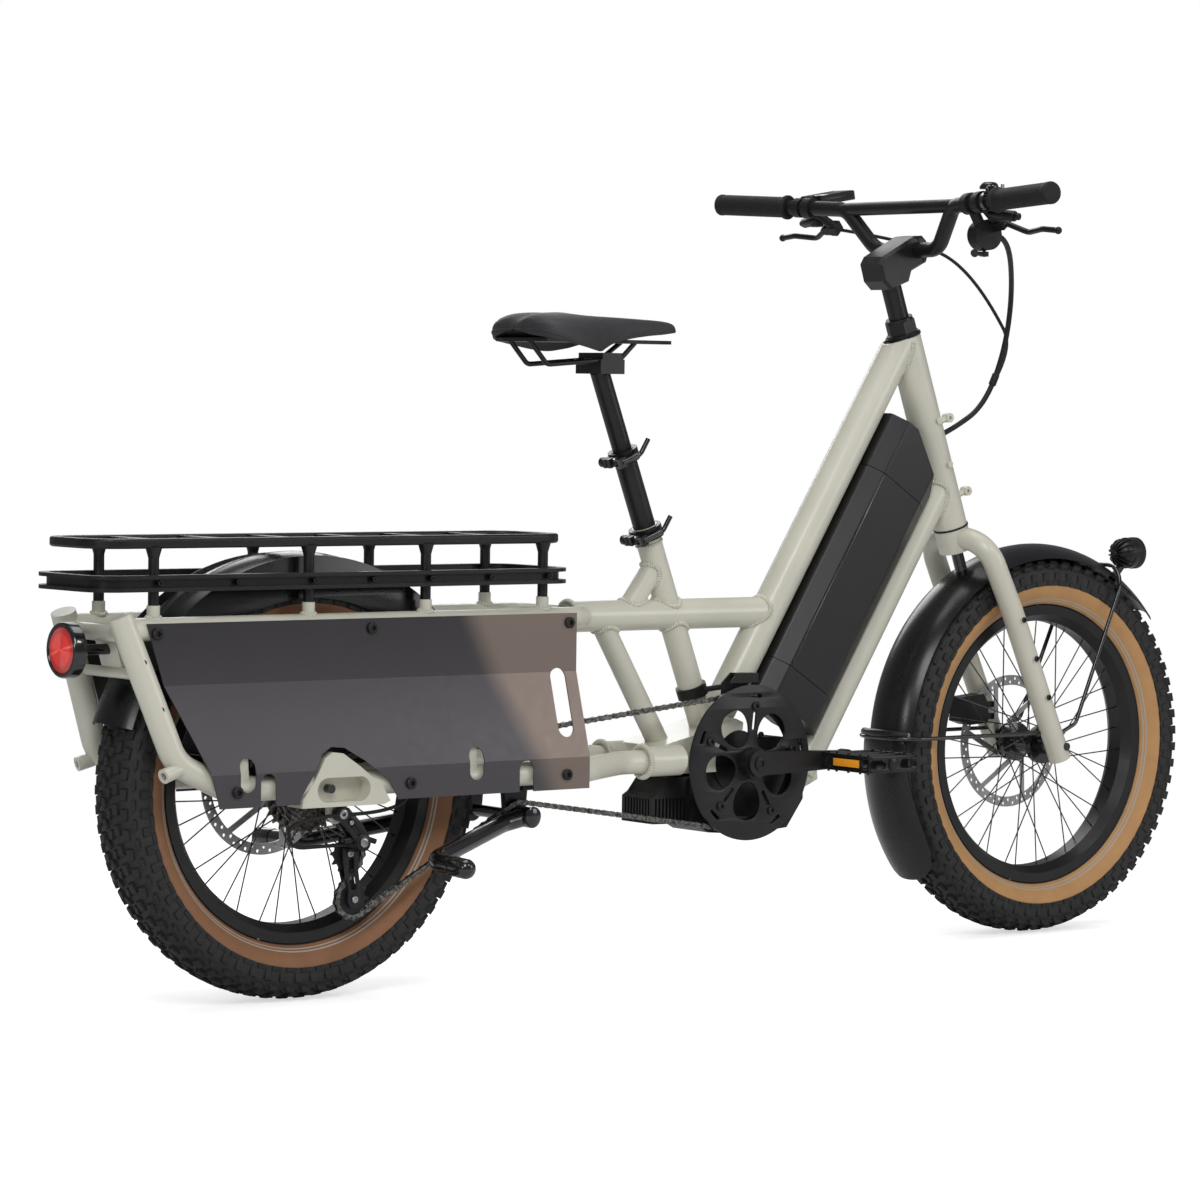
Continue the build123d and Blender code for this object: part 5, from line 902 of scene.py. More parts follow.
# --- Weld beads ---
def meeting(start, direction, radius, other, other_dir, other_radius, sign=1, steps=72):
    """Where a tube's surface meets another tube: points round the joint."""
    d = Vector(direction).normalized()
    w = Vector(other_dir).normalized()
    u = d.orthogonal().normalized()
    v = d.cross(u)
    points = []
    for i in range(steps):
        angle = tau * i / steps
        p = Vector(start) + (u * cos(angle) + v * sin(angle)) * radius
        m = p - Vector(other)
        a = d - w * d.dot(w)
        b = m - w * m.dot(w)
        qa, qb, qc = a.dot(a), 2 * a.dot(b), b.dot(b) - other_radius**2
        root = qb * qb - 4 * qa * qc
        t = (-qb + (-sign) * math.sqrt(max(root, 0))) / (2 * qa)
        points.append(p + d * t)
    return points


def round_tube(centre, direction, radius, steps=72):
    """Points round a tube."""
    d = Vector(direction).normalized()
    u = d.orthogonal().normalized()
    v = d.cross(u)
    return [Vector(centre) + (u * cos(tau * i / steps) + v * sin(tau * i / steps)) * radius for i in range(steps)]


def bead(points, sizes, thick=1.0, top=None):
    """A rippled weld bead along a closed row of points, or along those below a height up the steering axis."""
    if top is not None:
        below = [(p - STEER).dot(HEAD_UP) < top * MM for p in points]
        start = next(i for i in range(len(points)) if below[i] and not below[i - 1])
        points = [p for p, kept in zip(points[start:] + points[:start], below[start:] + below[:start]) if kept]
    lengths = [0.0]
    for a, b in zip(points, points[1:] + ([] if top else points[:1])):
        lengths.append(lengths[-1] + (b - a).length)
    total = lengths[-1]
    fine = max(24, int(total / sizes.ripple * 5))
    row, radii = [], []
    k = 0
    for i in range(fine):
        target = total * i / fine
        while lengths[k + 1] < target:
            k += 1
        share = (target - lengths[k]) / max(1e-9, lengths[k + 1] - lengths[k])
        row.append(points[k].lerp(points[(k + 1) % len(points)], share))
        radii.append(thick * (0.74 + 0.40 * abs(sin(pi * target / sizes.ripple))))
    return swept(row, sizes.bead, "bead", closed=top is None, sides=2, radii=radii)


class CARGO_OT_welds(bpy.types.Operator):
    """Add the weld beads where the frame's tubes meet"""

    bl_idname = "cargo.welds"
    bl_label = "Weld beads"

    def execute(self, context):
        sizes = context.scene.cargo_weld
        head = on_steer(0, 0, 500)
        upper = in_bay(0, 0, 300)
        lower = in_bay(180, 0, 300)
        mid = rear(600, 0, 493)
        ahead = Vector((1, 0, 0))
        seat = on_seat(500)
        brace_foot = on_seat(564)
        brace_end = Vector((on_seat(493).x - 78 * MM, 0, 499 * MM))
        low_start, low_end = rear(518, 0, 489), rear(634, 0, 300)
        beads = [
            bead(meeting(upper, BAY_UP, 0.0245, head, HEAD_UP, 0.025, 1), sizes, top=640),
            bead(meeting(lower, BAY_UP, 0.023, head, HEAD_UP, 0.025, 1), sizes),
            bead(meeting(mid, ahead, 0.0215, upper, BAY_UP, 0.0245, 1), sizes),
            bead(meeting(on_seat(600), -SEAT_UP, 0.018, mid, ahead, 0.0215, 1), sizes),
            bead(meeting(on_seat(380), SEAT_UP, 0.018, mid, ahead, 0.0215, 1), sizes),
            bead(meeting(brace_end, brace_foot - brace_end, 0.0155, seat, SEAT_UP, 0.018, 1), sizes),
            bead(meeting(brace_foot, brace_end - brace_foot, 0.0155, mid, ahead, 0.0215, 1), sizes),
            bead(meeting(low_end, low_start - low_end, 0.0155, mid, ahead, 0.0215, 1), sizes),
            bead(round_tube(rear(462, 0, 493), ahead, 0.0217), sizes),
            bead(round_tube(on_seat(594), SEAT_UP, 0.0182), sizes, 0.5),
        ]
        for side in (1, -1):
            beads.append(bead(round_tube(rear(561, side * 46, 292), ahead, 0.0215), sizes))
            for x in (-255, -17, 171, 367):
                beads.append(bead(meeting(rear(x, side * 65, 560), (0, 0, -1), 0.0085, rear(x, side * 65, 496),
                                          ahead, 0.015, 1, 36), sizes, 0.8))
        beads = joined(beads, "frame_weld_beads")
        dress(beads, "weld", "frame", 60)
        return {"FINISHED"}


# --- Saddle ---
# place ahead of the rear axle, half width, crest, edge and underside, in millimetres
SADDLE = [(361, 16, 891, 888, 884), (364, 38, 900, 887, 877), (371, 60, 907, 885, 873), (383, 74, 911, 880, 869),
          (402, 79, 913, 873, 866), (425, 77, 913.5, 867, 861), (448, 70, 912, 862, 856), (468, 59, 911, 860, 854),
          (488, 45, 910, 866, 858), (512, 34, 909.5, 876, 867), (545, 27, 908.5, 883, 874),
          (580, 23, 907, 887, 879), (610, 19.5, 905, 889, 882), (630, 15.5, 902, 890, 885),
          (639, 9.5, 898, 890, 886), (642, 5, 894, 890, 888)]
SADDLE_ROWS = 70
SADDLE_RING = 64
SADDLE_SHELL_Z = 877


def along_saddle(share):
    """The saddle's measures between its stations, smooth."""
    place = share * (len(SADDLE) - 1)
    i = min(int(place), len(SADDLE) - 2)
    t = place - i
    rows = [SADDLE[max(0, min(len(SADDLE) - 1, i + k))] for k in (-1, 0, 1, 2)]
    return [0.5 * (2 * b + (c - a) * t + (2 * a - 5 * b + 4 * c - d) * t**2 + (3 * b - a - 3 * c + d) * t**3)
            for a, b, c, d in zip(*rows)]


def saddle_point(row, ring):
    """A point of the saddle's skin: over the top from left to right, then back under."""
    x, half, crest, edge, under = along_saddle(row / (SADDLE_ROWS - 1))
    angle = tau * ring / SADDLE_RING
    u = cos(angle)
    rise = abs(sin(angle))
    if sin(angle) >= 0:
        valley = 3.0 + 6.5 * math.exp(-(((x - 362) / 50) ** 2))
        middle = math.exp(-((u * half / (8 + 0.10 * half)) ** 2)) * math.exp(-(((x - 480) / 135) ** 6))
        seam = math.exp(-(((abs(u) - 0.82) / 0.035) ** 2)) * (half > 26)
        dome = rise**0.8 if half > 50 else rise**0.62
        z = edge + (crest - edge) * dome - valley * middle - 0.7 * seam
    else:
        shell = max(SADDLE_SHELL_Z, edge - 1)
        z = under + (shell - under) * (1 - abs(u) ** 5) + (edge - under) * abs(u) ** 40
    return rear(x, half * u, z)


class CARGO_OT_saddle(bpy.types.Operator):
    """Add the padded saddle with its valley, drooping wings and edge piping"""

    bl_idname = "cargo.saddle"
    bl_label = "Saddle"

    def execute(self, context):
        deselect()
        bpy.ops.mesh.primitive_grid_add(x_subdivisions=SADDLE_RING, y_subdivisions=SADDLE_ROWS - 1)
        skin = context.object
        for i, vertex in enumerate(skin.data.vertices):
            row, ring = divmod(i, SADDLE_RING + 1)
            vertex.co = saddle_point(row, ring % SADDLE_RING)
        bpy.ops.object.mode_set(mode="EDIT")
        bpy.ops.mesh.select_all(action="SELECT")
        bpy.ops.mesh.remove_doubles(threshold=1e-5)
        bpy.ops.mesh.select_all(action="SELECT")
        bpy.ops.mesh.fill_holes(sides=0)
        bpy.ops.mesh.select_all(action="SELECT")
        bpy.ops.mesh.normals_make_consistent(inside=False)
        bpy.ops.object.mode_set(mode="OBJECT")
        settle(skin, "saddle_pad")
        dress(skin, "cover", "post_upper", 60, ("saddle",))
        edge = []
        for side in (0, SADDLE_RING // 2):
            rows = range(1, SADDLE_ROWS - 1) if side == 0 else range(SADDLE_ROWS - 2, 0, -1)
            edge += [saddle_point(row, side) for row in rows]
        piping = swept(edge, 0.0011, "saddle_piping", closed=True, sides=2)
        dress(piping, "cover", "post_upper", 60)
        return {"FINISHED"}


# --- Screws ---
def screw(place, direction, radius, height, socket=0.5, lobes=6):
    """A cap screw's head standing on a surface, with a hexagon socket in its top."""
    profile = [(radius, -0.0004), (radius, height * 0.78), (radius * 0.88, height), (radius * socket, height),
               (radius * socket, height * 0.3), (0, height * 0.3), (0, -0.0004)]
    head = spun(profile, (0, 0, 0), (0, 0, 1), 36, "screw")
    for vertex in head.data.vertices:
        reach = math.hypot(vertex.co.x, vertex.co.y)
        if 1e-6 < reach < radius * (socket + 0.02):
            turn = math.atan2(vertex.co.y, vertex.co.x) % (tau / lobes) - pi / lobes
            grow = cos(pi / lobes) / cos(turn)
            vertex.co.x *= grow
            vertex.co.y *= grow
    head.data.transform(Matrix.Translation(place) @ turned(direction).to_matrix().to_4x4())
    return head


def screws(spots, name, finish, body, replaces=()):
    """Screw heads at (place, direction, radius in mm, height in mm), joined."""
    made = [screw(place, direction, radius * MM, height * MM) for place, direction, radius, height in spots]
    return dress(joined(made, name), finish, body, 40, replaces)


def around(centre, radius, angles, y):
    """Points in a circle round a wheel-like centre, in millimetres."""
    return [Vector((centre.x + radius * MM * cos(a), y * MM, centre.z + radius * MM * sin(a))) for a in angles]


class CARGO_OT_screws(bpy.types.Operator):
    """Add the screw heads of the panels, the chain guard, the crank caps, the motor and the rack channel"""

    bl_idname = "cargo.screws"
    bl_label = "Screws"

    def execute(self, context):
        right, left = Vector((0, -1, 0)), Vector((0, 1, 0))
        panel = [(rear(x, side * face, z), Vector((0, side, 0)), 7.6, 4.2)
                 for side in (1, -1)
                 for spots, face in (([(-262, 491), (70, 491), (398, 491)], 85.4),
                                     ([(-160, 288), (112, 288), (372, 288)], 118.0))
                 for x, z in spots]
        screws(panel, "panel_screws", "dark", "frame", ("panel_bolts",))
        guard = around(CRANK, 80, GUARD_ARMS, -69.5)
        screws([(spot, right, 6.5, 3.4) for spot in guard], "chain_guard_screws", "dark", "crankset")
        screws([(Vector((CRANK.x, -0.092, CRANK.z)), right, 10, 2.4)], "crank_cap_right", "plastic", "crankset")
        screws([(Vector((CRANK.x, 0.092, CRANK.z)), left, 10, 2.4)], "crank_cap_left", "plastic", "crankset")
        motor = [(spot, direction, 4.2, 3.0) for direction, y in ((right, -40.8), (left, 40.8))
                 for spot in around(CRANK, 56, [radians(40 + 72 * k) for k in range(5)], y)]
        screws(motor, "motor_screws", "dark", "frame")
        lips = [(rear(x, side * 79.6, 554.5), Vector((0, side, 0)), 4.0, 2.6)
                for side in (1, -1) for x in (-255, -136, -17, 77, 171, 269, 367)]
        screws(lips, "channel_screws", "dark", "frame")
        return {"FINISHED"}


# --- Lamps, display and brake cylinders ---
def ringed(centre, axis, rings, steps, name):
    """A closed turned piece from (radius, along) pairs in millimetres."""
    return spun([(r * MM, a * MM) for r, a in rings], centre, axis, steps, name)


class CARGO_OT_lamps(bpy.types.Operator):
    """Add the lamp lenses and housings, the display and the brake cylinders"""

    bl_idname = "cargo.lamps"
    bl_label = "Lamps and display"

    def execute(self, context):
        back, ahead = Vector((-1, 0, 0)), Vector((1, 0, 0))
        tail = rear(-348, 0, 468)
        waves = [(29.3 - k * 0.75, 1.6 + 0.55 * (k % 2) + 2.2 * (1 - (1 - k / 38) ** 2)) for k in range(38)]
        lens = ringed(tail, back, [(29.3, -9)] + waves + [(0, 3.9), (0, -9)], 96, "tail_lamp_glass")
        dress(lens, "lens", "frame", 25, ("tail_lamp_lens",))
        bezel = ringed(tail, back, [(29.6, -6), (29.6, 2.2), (30.4, 3.4), (33.6, 3.4), (35.2, 1.8), (35.8, -1),
                                    (35.8, -14), (34, -15.5), (29.6, -15.5)], 96, "tail_lamp_bezel")
        dress(bezel, "gloss", "frame", 35)

        lamp_at = front(200, 0, 284)
        bezel = ringed(lamp_at, ahead, [(19.6, 17.4), (19.6, 20.6), (20.6, 22), (22.6, 22), (24.1, 20.4), (24.3, 12),
                                        (23.4, 11), (23.4, 17.4)], 72, "headlamp_bezel")
        dress(bezel, "plastic", "steering", 35)
        dome = ringed(lamp_at, ahead, [(19.4, 19.6), (16, 21.2), (11, 22.4), (5, 23), (0, 23.1), (0, 18.6),
                                       (19.4, 18.6)], 72, "headlamp_lens")
        dress(dome, "glass", "steering", 30)
        shell = ringed(lamp_at, ahead, [(0, -21), (7, -20.4), (13, -17.6), (18, -12.4), (21, -6), (22, 0), (23.4, 1),
                                        (23.6, 12), (23.4, 17.4), (0, 17.4)], 72, "headlamp_shell")
        fins = [shell]
        count = 14
        curve = [(4, -26), (10, -25.4), (16, -21.6), (21, -14.6), (23.6, -6), (23.8, 2), (20, 4), (14, -12), (4, -16)]
        for k in range(count):
            fin = plate(curve, [], 1.7, 0.5, "fin")
            fin.data.transform(Matrix.Translation(lamp_at) @ Matrix.Rotation(tau * k / count, 4, "X")
                               @ Matrix.Rotation(pi / 2, 4, "Y") @ Matrix.Scale(-1, 4, (1, 0, 0)))
            fin.data.flip_normals()
            fins.append(fin)
        fins.append(ringed(lamp_at, ahead, [(0, -28), (4.6, -28), (5, -27), (5, -20), (0, -20)], 32, "hub"))
        foot_angle, foot_reach = radians(55), 0.2945
        foot = FRONT + Vector((foot_reach * cos(foot_angle), 0, foot_reach * sin(foot_angle)))
        fins.append(bar(lamp_at + Vector((-8, 0, -18)) * MM, foot, 0.006, "leg", 24))
        dress(joined(fins, "headlamp_body"), "satin", "steering", 35, ("headlamp",))

        base = on_bar(1, 152, 16, 52) + Vector((0, -4 * MM, 0))
        tilt = Matrix.Translation(base) @ Matrix.Rotation(math.asin(-0.17), 4, "Y")
        screen = block((2 * MM, 0, 6.9 * MM), (52 * MM, 38 * MM, 1.2 * MM), "display_screen", 0.0004)
        screen.data.transform(tilt)
        dress(screen, "glass", "steering")
        housing = block((0, 0, 0.6 * MM), (62 * MM, 47 * MM, 11.6 * MM), "display_housing", 0.0036)
        housing.data.transform(tilt)
        parts = [housing]
        for y in (-9, 0, 9):
            key = block((-25 * MM, y * MM, 6.6 * MM), (5 * MM, 6 * MM, 1.6 * MM), "key", 0.0006)
            key.data.transform(tilt)
            parts.append(key)
        for side in (1, -1):
            parts += [bar(on_bar(side, 172, -16, 20), on_bar(side, 128, -22, 34), 0.0078, "cylinder", 32, 0.0018),
                      bar(on_bar(side, 128, -22, 34), on_bar(side, 121, -23, 37), 0.0052, "hose end", 24, 0.001),
                      bar(on_bar(side, 171, 12, 12), on_bar(side, 171, -14, 20), 0.0056, "clamp bolt", 24, 0.0012),
                      block(on_bar(side, 160, -21, 26), (15 * MM, 26 * MM, 13 * MM), "reservoir", 0.003,
                            (0, 0, side * -0.35))]
        dress(joined(parts, "cockpit_housings"), "satin", "steering", 40)
        rim = [block((0, side * 21.6 * MM, 6.6 * MM), (66 * MM, 2.2 * MM, 2.2 * MM), "rim", 0.0006)
               for side in (1, -1)]
        rim += [block((end * 31.6 * MM, 0, 6.6 * MM), (2.2 * MM, 43 * MM, 2.2 * MM), "rim", 0.0006)
                for end in (1, -1)]
        rim += [block((-29 * MM, y * MM, 7.2 * MM), (3.4 * MM, 7 * MM, 1.8 * MM), "key", 0.0005)
                for y in (-12, 0, 12)]
        frame_piece = joined(rim, "display_rim")
        frame_piece.data.transform(tilt)
        dress(frame_piece, "plastic", "steering")
        return {"FINISHED"}


# --- Pedals ---
class CARGO_OT_pedals(bpy.types.Operator):
    """Add the open cage pedals with their reflectors and studs"""

    bl_idname = "cargo.pedals"
    bl_label = "Pedals"

    def execute(self, context):
        height = 285
        corner = [(46, 9), (43, 12), (-43, 12), (-46, 9), (-46, -9), (-43, -12), (43, -12), (46, -9)]
        windows = [slot_row((side * 20, 0), (side * 38, 0), 6.5) for side in (1, -1)]
        for name, x, side in (("right", 901, -1), ("left", 575, 1)):
            body = f"pedal_{name}"
            middle = side * 141.5
            cages, lenses, studs = [], [], []
            for y, thick in ((96, 5), (127, 4), (156, 4), (187, 5)):
                cages.append(moved(plate(corner, windows, thick, 0.8, "cross plate"), x, side * y, height))
            cages.append(bar(rear(x, side * 94, height), rear(x, side * 190.5, height), 0.0098, "barrel", 28,
                             0.0008))
            for end in (-1, 1):
                for z in (-1, 1):
                    cages.append(block(rear(x + end * 44, middle, height + z * 10), (6.4 * MM, 96 * MM, 4 * MM), "rail",
                                       0.0009))
                    for y in (-42, -25, 0, 25, 42):
                        spot = rear(x + end * 42, middle + y, height + z * 11.8)
                        studs.append(bar(spot, spot + Vector((0, 0, z * 0.0026)), 0.0019, "stud", 10, 0.0004))
                for y in (-30, 30):
                    cages.append(block(rear(x + end * 44.6, middle + y, height), (5 * MM, 4 * MM, 18 * MM), "post",
                                       0.0008))
                lenses.append(block(rear(x + end * 45.6, middle, height), (3.6 * MM, 54 * MM, 11 * MM), "lens",
                                    0.0009))
                cages.append(block(rear(x + end * 42.6, middle, height), (3 * MM, 60 * MM, 17 * MM), "backing",
                                   0.0006))
            cages.append(ringed(rear(x, side * 190, height), (0, side, 0),
                                [(0, 0), (9, 0), (9, 1.6), (7, 2.6), (0, 2.6)], 40, "cap"))
            dress(joined(cages, f"pedal_{name}_cage"), "satin", body, 35, (f"pedal_{name}",))
            dress(joined(lenses, f"pedal_{name}_reflectors"), "amber", body)
            dress(joined(studs, f"pedal_{name}_studs"), "dark", body)
        return {"FINISHED"}


# --- Chain guard and cogs ---
def round_hub(angle, out, across):
    """A place out along an angle and across it."""
    return (out * cos(angle) - across * sin(angle), out * sin(angle) + across * cos(angle))


class CARGO_OT_guard(bpy.types.Operator):
    """Add the five-armed chain guard and the cassette's larger cogs"""

    bl_idname = "cargo.guard"
    bl_label = "Chain guard and cogs"

    def execute(self, context):
        holes = [disc(0, 0, 12.3)]
        for arm in GUARD_ARMS:
            mid = arm + pi / 5
            holes.append([round_hub(mid, 54.5 + 27.5 * cos(t), 24 * sin(t) * (1 + 0.16 * cos(t)))
                          for t in (tau * i / 40 for i in range(40))])
            holes.append(slot_row(round_hub(arm, 49, 0), round_hub(arm, 69, 0), 2.6))
            holes.append(slot_row(round_hub(arm, 95, -7), round_hub(arm, 95, 7), 2.8))
        guard = plate(disc(0, 0, 110, 128), holes, 3.2, 0.6, "chain_guard_plate")
        guard.data.transform(Matrix.Translation((CRANK.x, -0.068, CRANK.z)))
        dress(guard, "satin", "crankset", 35, ("chain_guard",))
        cogs = []
        for k, radius in enumerate((30, 35, 40, 45, 50, 54)):
            teeth = 4 * round(radius / 2.1)
            row = [(r * cos(tau * i / teeth / 2), r * sin(tau * i / teeth / 2))
                   for i in range(2 * teeth) for r in [radius - (2.6 if i % 2 else 0)]]
            cog = plate(row, [disc(0, 0, radius - 9)] if radius > 32 else [disc(0, 0, 19)], 1.8, 0.25, "cog")
            cogs.append(moved(cog, 0, -56 + 3.4 * k, 284))
            if radius > 32:
                arms = [slot_row(round_hub(tau * i / 6, 20, 0), round_hub(tau * i / 6 + 0.2, radius - 7, 0), 2.4)
                        for i in range(6)]
                cogs += [moved(plate(arm, [], 1.7, 0.3, "cog arm"), 0, -56 + 3.4 * k, 284) for arm in arms]
        dress(joined(cogs, "larger_cogs"), "link", "cassette", 30)
        return {"FINISHED"}


# --- Derailleur ---
class CARGO_OT_derailleur(bpy.types.Operator):
    """Add the derailleur's knuckles, links, cage and adjuster"""

    bl_idname = "cargo.derailleur"
    bl_label = "Derailleur"

    def execute(self, context):
        cage = [(40, 200), (44, 207), (54, 209), (63, 203), (66, 190), (66, 170), (70, 146), (70, 130), (64, 122),
                (54, 122), (49, 130), (50, 148), (45, 166), (41, 184)]
        gaps = [slot_row((54, 186), (55, 172), 4.2), slot_row((56.5, 160), (58, 150), 4.6)]
        parts = [moved(plate(cage, gaps, 2.2, 0.5, "cage plate"), 0, y, 0) for y in (-66, -54)]
        link = [(12, 244), (17, 257), (30, 258), (52, 236), (64, 218), (62, 205), (50, 203), (40, 214), (26, 232)]
        parts.append(moved(plate(link, [slot_row((32, 240), (46, 222), 3.4)], 4, 1.1, "outer link"), 0, -93, 0))
        parts.append(moved(plate(link, [], 4, 1.1, "inner link"), 0, -80, 0))
        parts += [bar(rear(20, -84, 250), rear(20, -96, 250), 0.0105, "hanger knuckle", 28, 0.0014),
                  bar(rear(53, -97, 211), rear(53, -66, 207), 0.0115, "cage knuckle", 28, 0.0016),
                  bar(rear(34, -92, 238), rear(34, -78, 238), 0.0052, "link pin", 20, 0.0008),
                  bar(rear(60, -90, 216), rear(74, -94, 211), 0.0036, "adjuster", 18, 0.0006),
                  bar(rear(26, -88, 214), rear(50, -88, 216), 0.0046, "cable anchor", 18, 0.0008),
                  block(rear(44, -86, 226), (20 * MM, 15 * MM, 12 * MM), "spring box", 0.002, (0, radians(40), 0))]
        dress(joined(parts, "derailleur_body"), "satin", "frame", 35, ("derailleur",))
        right = Vector((0, -1, 0))
        bolts = [(rear(20, -96, 250), right, 6.5, 2.4), (rear(53, -97, 211), right, 6.0, 2.2),
                 (rear(34, -95, 238), right, 3.2, 1.6), (rear(52, -67, 194), right, 4.6, 2.6),
                 (rear(60, -67, 133), right, 4.6, 2.6)]
        screws(bolts, "derailleur_bolts", "steel", "frame")
        return {"FINISHED"}


# --- Fender trim ---
FENDER_R = 0.301
FLAP_OUT, STRAP_OUT = 0.0078, 0.0105  # how far each stands outside that radius in its middle
CROWN_DROP, CROWN_HALF = 0.021, 54  # how much nearer the wheel the edge is, where the half width is this
STRAP_BACK, STRAP_UP = 0.9962, 0.0872  # the strap's direction from the front axle
SKIRT_OUTER, SKIRT_INNER = 302, 246
# angle round the front axle in degrees, half width in millimetres
FLAP = [(176, 46), (185, 48), (193, 51), (201, 54), (207, 55), (212, 53), (216, 47), (218, 36), (219, 20)]


class CARGO_OT_fenders(bpy.types.Operator):
    """Add the flared mud flap, its strap and the skirts beside the rear wheel"""

    bl_idname = "cargo.fenders"
    bl_label = "Fender trim"

    def execute(self, context):
        deselect()
        across = 16
        bpy.ops.mesh.primitive_grid_add(x_subdivisions=across, y_subdivisions=len(FLAP) - 1)
        flap = context.object
        for i, vertex in enumerate(flap.data.vertices):
            row, column = divmod(i, across + 1)
            angle, half = FLAP[row]
            u = 2 * column / across - 1
            reach = FENDER_R + FLAP_OUT - CROWN_DROP * u * u * (half / CROWN_HALF) ** 2
            vertex.co = FRONT + Vector((reach * cos(radians(angle)), half * MM * u, reach * sin(radians(angle))))
        thick = flap.modifiers.new("thickness", "SOLIDIFY")
        thick.thickness = 0.0028
        thick.offset = -1
        bpy.ops.object.modifier_apply(modifier=thick.name)
        smooth = flap.modifiers.new("smooth", "SUBSURF")
        smooth.levels = smooth.render_levels = 2
        bpy.ops.object.modifier_apply(modifier=smooth.name)
        settle(flap, "front_mud_flap")
        dress(flap, "fender", "steering", 50)

        hoop = []
        for i in range(25):
            u = i / 12 - 1
            reach = FENDER_R + STRAP_OUT - CROWN_DROP * u * u
            hoop.append(FRONT + Vector((-reach * STRAP_BACK, 0.0475 * u, reach * STRAP_UP)))
        strap = swept(hoop, 0.0055, "flap_strap", sides=3)
        dress(strap, "satin", "steering", 40)
        rivets = [(FRONT + Vector((-0.290, side * 0.0478, 0.026)), Vector((-0.3, side, 0)), 3.2, 2.0)
                  for side in (1, -1)]
        screws(rivets, "strap_rivets", "steel", "steering")

        arc = [(SKIRT_OUTER * cos(radians(a)), SKIRT_OUTER * sin(radians(a))) for a in range(38, 143, 3)]
        low = [(SKIRT_INNER * cos(radians(a)), SKIRT_INNER * sin(radians(a))) for a in range(142, 37, -3)]
        skirts = [moved(plate(arc + low, [], 1.6, 0.4, "skirt"), 0, side * 48.4, 284) for side in (1, -1)]
        dress(joined(skirts, "rear_wheel_skirts"), "fender", "frame", 35)
        return {"FINISHED"}


# --- Cables ---
CABLES = [
    ("loom_cable", 4.0, "steering", 0.4591, ("cable_loom",),
     [on_bar(-1, 200, -44, 53), on_bar(-1, 200, -46, 78), rear(1250, -50, 960), rear(1270, -14, 870),
      rear(1240, -3, 790), on_steer(49, 0, 484), on_steer(25.4, 0, 484)]),
    ("brake_hose", 2.5, "steering", 0.3097, (),
     [on_bar(1, 178, -30, 54), rear(1150, 90, 1036), rear(1236, 30, 1004), rear(1279, -2, 905)]),
    ("shift_cable", 2.5, "frame", 0.3136, ("derailleur_cable",),
     [rear(124, -95, 273.4), rear(124, -95, 249), rear(-62, -95, 249), rear(-62, -88, 208), rear(0, -82, 208),
      rear(37.9, -82, 208)]),
]


class CARGO_OT_cables(bpy.types.Operator):
    """Lay the cable loom, the brake hose and the shift cable"""

    bl_idname = "cargo.cables"
    bl_label = "Cables"

    def execute(self, context):
        for name, radius, body, length, nodes, route in CABLES:
            curve = bpy.data.curves.new(name, "CURVE")
            curve.dimensions = "3D"
            curve.bevel_depth = radius * MM
            curve.bevel_resolution = 4
            curve.use_fill_caps = True
            spline = curve.splines.new("NURBS")
            spline.points.add(len(route) - 1)
            for point, place in zip(spline.points, route):
                point.co = (*place, 1)
            spline.order_u = 3
            spline.use_endpoint_u = True
            spline.resolution_u = 24
            cable = bpy.data.objects.new(name, curve)
            bpy.context.collection.objects.link(cable)
            curve.materials.append(FINISHES["plastic"].material)
            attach(cable, body)
            if nodes:
                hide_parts(*nodes)
            2 * radius * MM
        start, lead, end = rear(1279, -2, 905), rear(1289.7, -10, 880), rear(1255, -8.5, 830)
        merge = [start * (1 - t) ** 2 + lead * 2 * t * (1 - t) + end * t * t for t in (k / 14 for k in range(15))]
        loom = Vector((-30, 11, -80)).normalized() * MM
        parts = [swept(merge, 1, "hose run", sides=4, radii=[(2.5 + 0.1 * k) * MM for k in range(15)]),
                 bar(end - loom * 9, end + loom * 9, 0.0056, "sleeve", 28, 0.0012)]
        dress(joined(parts, "loom_joint"), "plastic", "steering", 40)
        return {"FINISHED"}


# --- Grips, headset, stand feet and seat post marks ---
POST_MARK_Y = 14.6


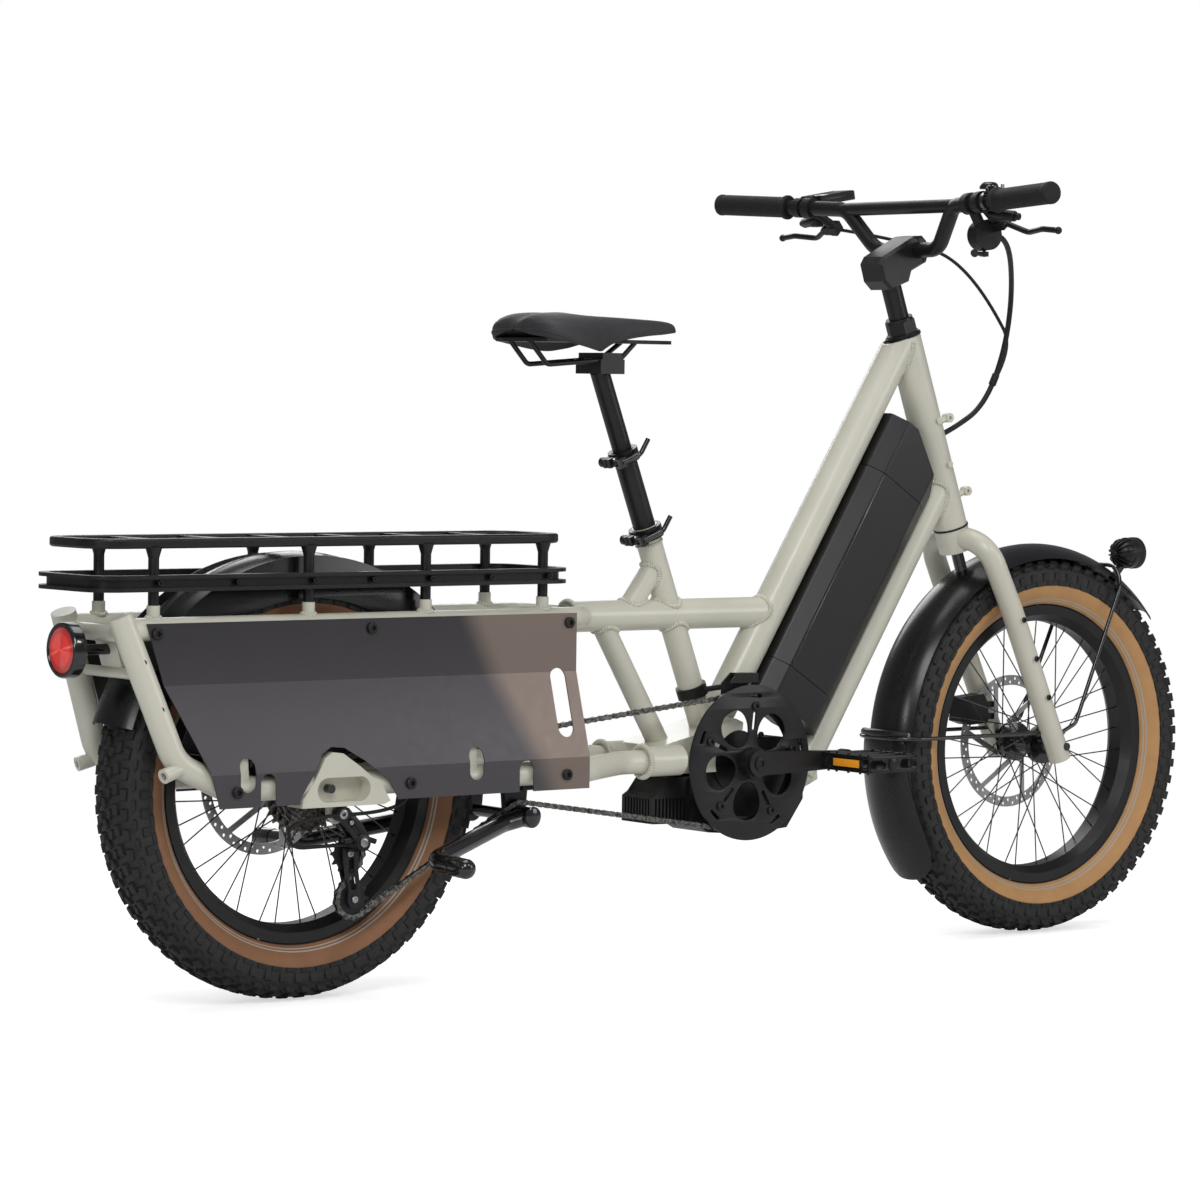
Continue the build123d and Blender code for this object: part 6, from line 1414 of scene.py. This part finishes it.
class CARGO_OT_trim(bpy.types.Operator):
    """Add grip sleeves, headset rings, stand feet, small bolts, battery edge lines and seat post marks"""

    bl_idname = "cargo.trim"
    bl_label = "Trim"

    def execute(self, context):
        sleeves = []
        for side in (1, -1):
            out = (on_bar(side, 10) - on_bar(side, 0)).normalized()
            row = [(0, -4.6), (13, -4.4), (15.2, -3.4), (16, -1.4), (15.9, 3), (15.3, 4)]
            row += [(15.3 + 0.28 * (k % 2), 8 + 3 * k) for k in range(38)]
            row += [(15.4, 124), (17.6, 125), (18.2, 127), (18.2, 130), (17, 132), (11.4, 132), (11.4, 1), (0, 1)]
            sleeves.append(ringed(on_bar(side, 0), out, row, 56, "sleeve"))
        dress(joined(sleeves, "grip_sleeves"), "grip", "steering", 50, ("grips",))

        seal = [(24.4, -1.6), (26.4, -1.2), (26.4, 1.2), (24.4, 1.6)]
        rings = [ringed(on_steer(0, 0, s), HEAD_UP, seal, 72, "ring") for s in (348.2, 646.8)]
        dress(joined(rings, "head_tube_seals"), "plastic", "frame")
        feet = []
        for side in (1, -1):
            along = Vector((-4, side * 81, -2)).normalized()
            tip = rear(116, side * 236, 186)
            feet.append(ringed(tip, along, [(0, -30), (12.9, -30), (13.3, -28), (13.3, 1), (12, 5), (8.6, 8.4),
                                            (4, 10.4), (0, 11)], 40, "foot"))
            feet.append(ringed(rear(335, side * 91, 231), (0, side, 0), [(0, -1), (13, -1), (13, 2), (10, 4), (0, 4)],
                               40, "pivot cap"))
        dress(joined(feet, "stand_feet"), "gloss", "kickstand", 40)
        bolts = [(on_steer(21 + 0.085 * (210 - s), side * 84.3, s), Vector((0, side, 0)), 4.2, 2.6)
                 for s in (196, 132, 68) for side in (1, -1)]
        screws(bolts, "fork_bolts", "dark", "steering")
        bolts = [(rear(-306 + 68 * t, side * (68 + 25 * t + 13.5), 513 - 187 * t), Vector((-0.25, side, 0)), 4.4, 2.6)
                 for t in (0.31, 0.63) for side in (1, -1)]
        screws(bolts, "tail_tube_bolts", "dark", "frame")
        edge = []
        for side in (1, -1):
            edge.append(bar(in_bay(49, side * 43.2, 212), in_bay(49, side * 43.2, 526), 0.0016, "edge line", 12,
                            0.0004))
        dress(joined(edge, "battery_edge_lines"), "gloss", "battery", 40)
        marks = []
        for k in range(9):
            wide = 10 if k % 2 == 0 else 6
            marks.append(block((0, 0, 0), (wide * MM, 0.6 * MM, 0.9 * MM), "mark"))
            marks[-1].data.transform(Matrix.Translation(on_seat(652, 0, -POST_MARK_Y, k * 5.5))
                                     @ Matrix.Rotation(pi / 2 - SEAT_ANGLE, 4, "Y").inverted())
        dress(joined(marks, "seat_post_marks"), "mark", "post_lower")
        return {"FINISHED"}


PIECES = ("finishes", "stage", "tyres", "chain", "welds", "saddle", "screws", "lamps", "pedals", "guard", "derailleur",
          "fenders", "cables", "trim")


class CARGO_PT_looks(bpy.types.Panel):
    """The sizes and colours, and a button for each piece"""

    bl_idname = "CARGO_PT_looks"
    bl_label = "Cargo bicycle"
    bl_space_type = "VIEW_3D"
    bl_region_type = "UI"
    bl_category = "Bicycle"

    def draw(self, context):
        for group in (context.scene.cargo_paint, context.scene.cargo_tyre, context.scene.cargo_weld):
            for name in group.bl_rna.properties.keys():
                if name not in ("rna_type", "name"):
                    self.layout.prop(group, name)
        for piece in PIECES:
            self.layout.operator(f"cargo.{piece}")


CLASSES = (CargoPaint, CargoTyre, CargoWeld, CARGO_OT_finishes, CARGO_OT_stage, CARGO_OT_tyres, CARGO_OT_chain,
           CARGO_OT_welds, CARGO_OT_saddle, CARGO_OT_screws, CARGO_OT_lamps, CARGO_OT_pedals, CARGO_OT_guard,
           CARGO_OT_derailleur, CARGO_OT_fenders, CARGO_OT_cables, CARGO_OT_trim,
           CARGO_PT_looks)


def register():
    for cls in CLASSES:
        bpy.utils.register_class(cls)
    bpy.types.Scene.cargo_paint = bpy.props.PointerProperty(type=CargoPaint)
    bpy.types.Scene.cargo_tyre = bpy.props.PointerProperty(type=CargoTyre)
    bpy.types.Scene.cargo_weld = bpy.props.PointerProperty(type=CargoWeld)


def unregister():
    del bpy.types.Scene.cargo_paint
    del bpy.types.Scene.cargo_tyre
    del bpy.types.Scene.cargo_weld
    for cls in reversed(CLASSES):
        bpy.utils.unregister_class(cls)


def main():
    register()
    for piece in PIECES:
        getattr(bpy.ops.cargo, piece)()


if __name__ == "__main__":
    main()
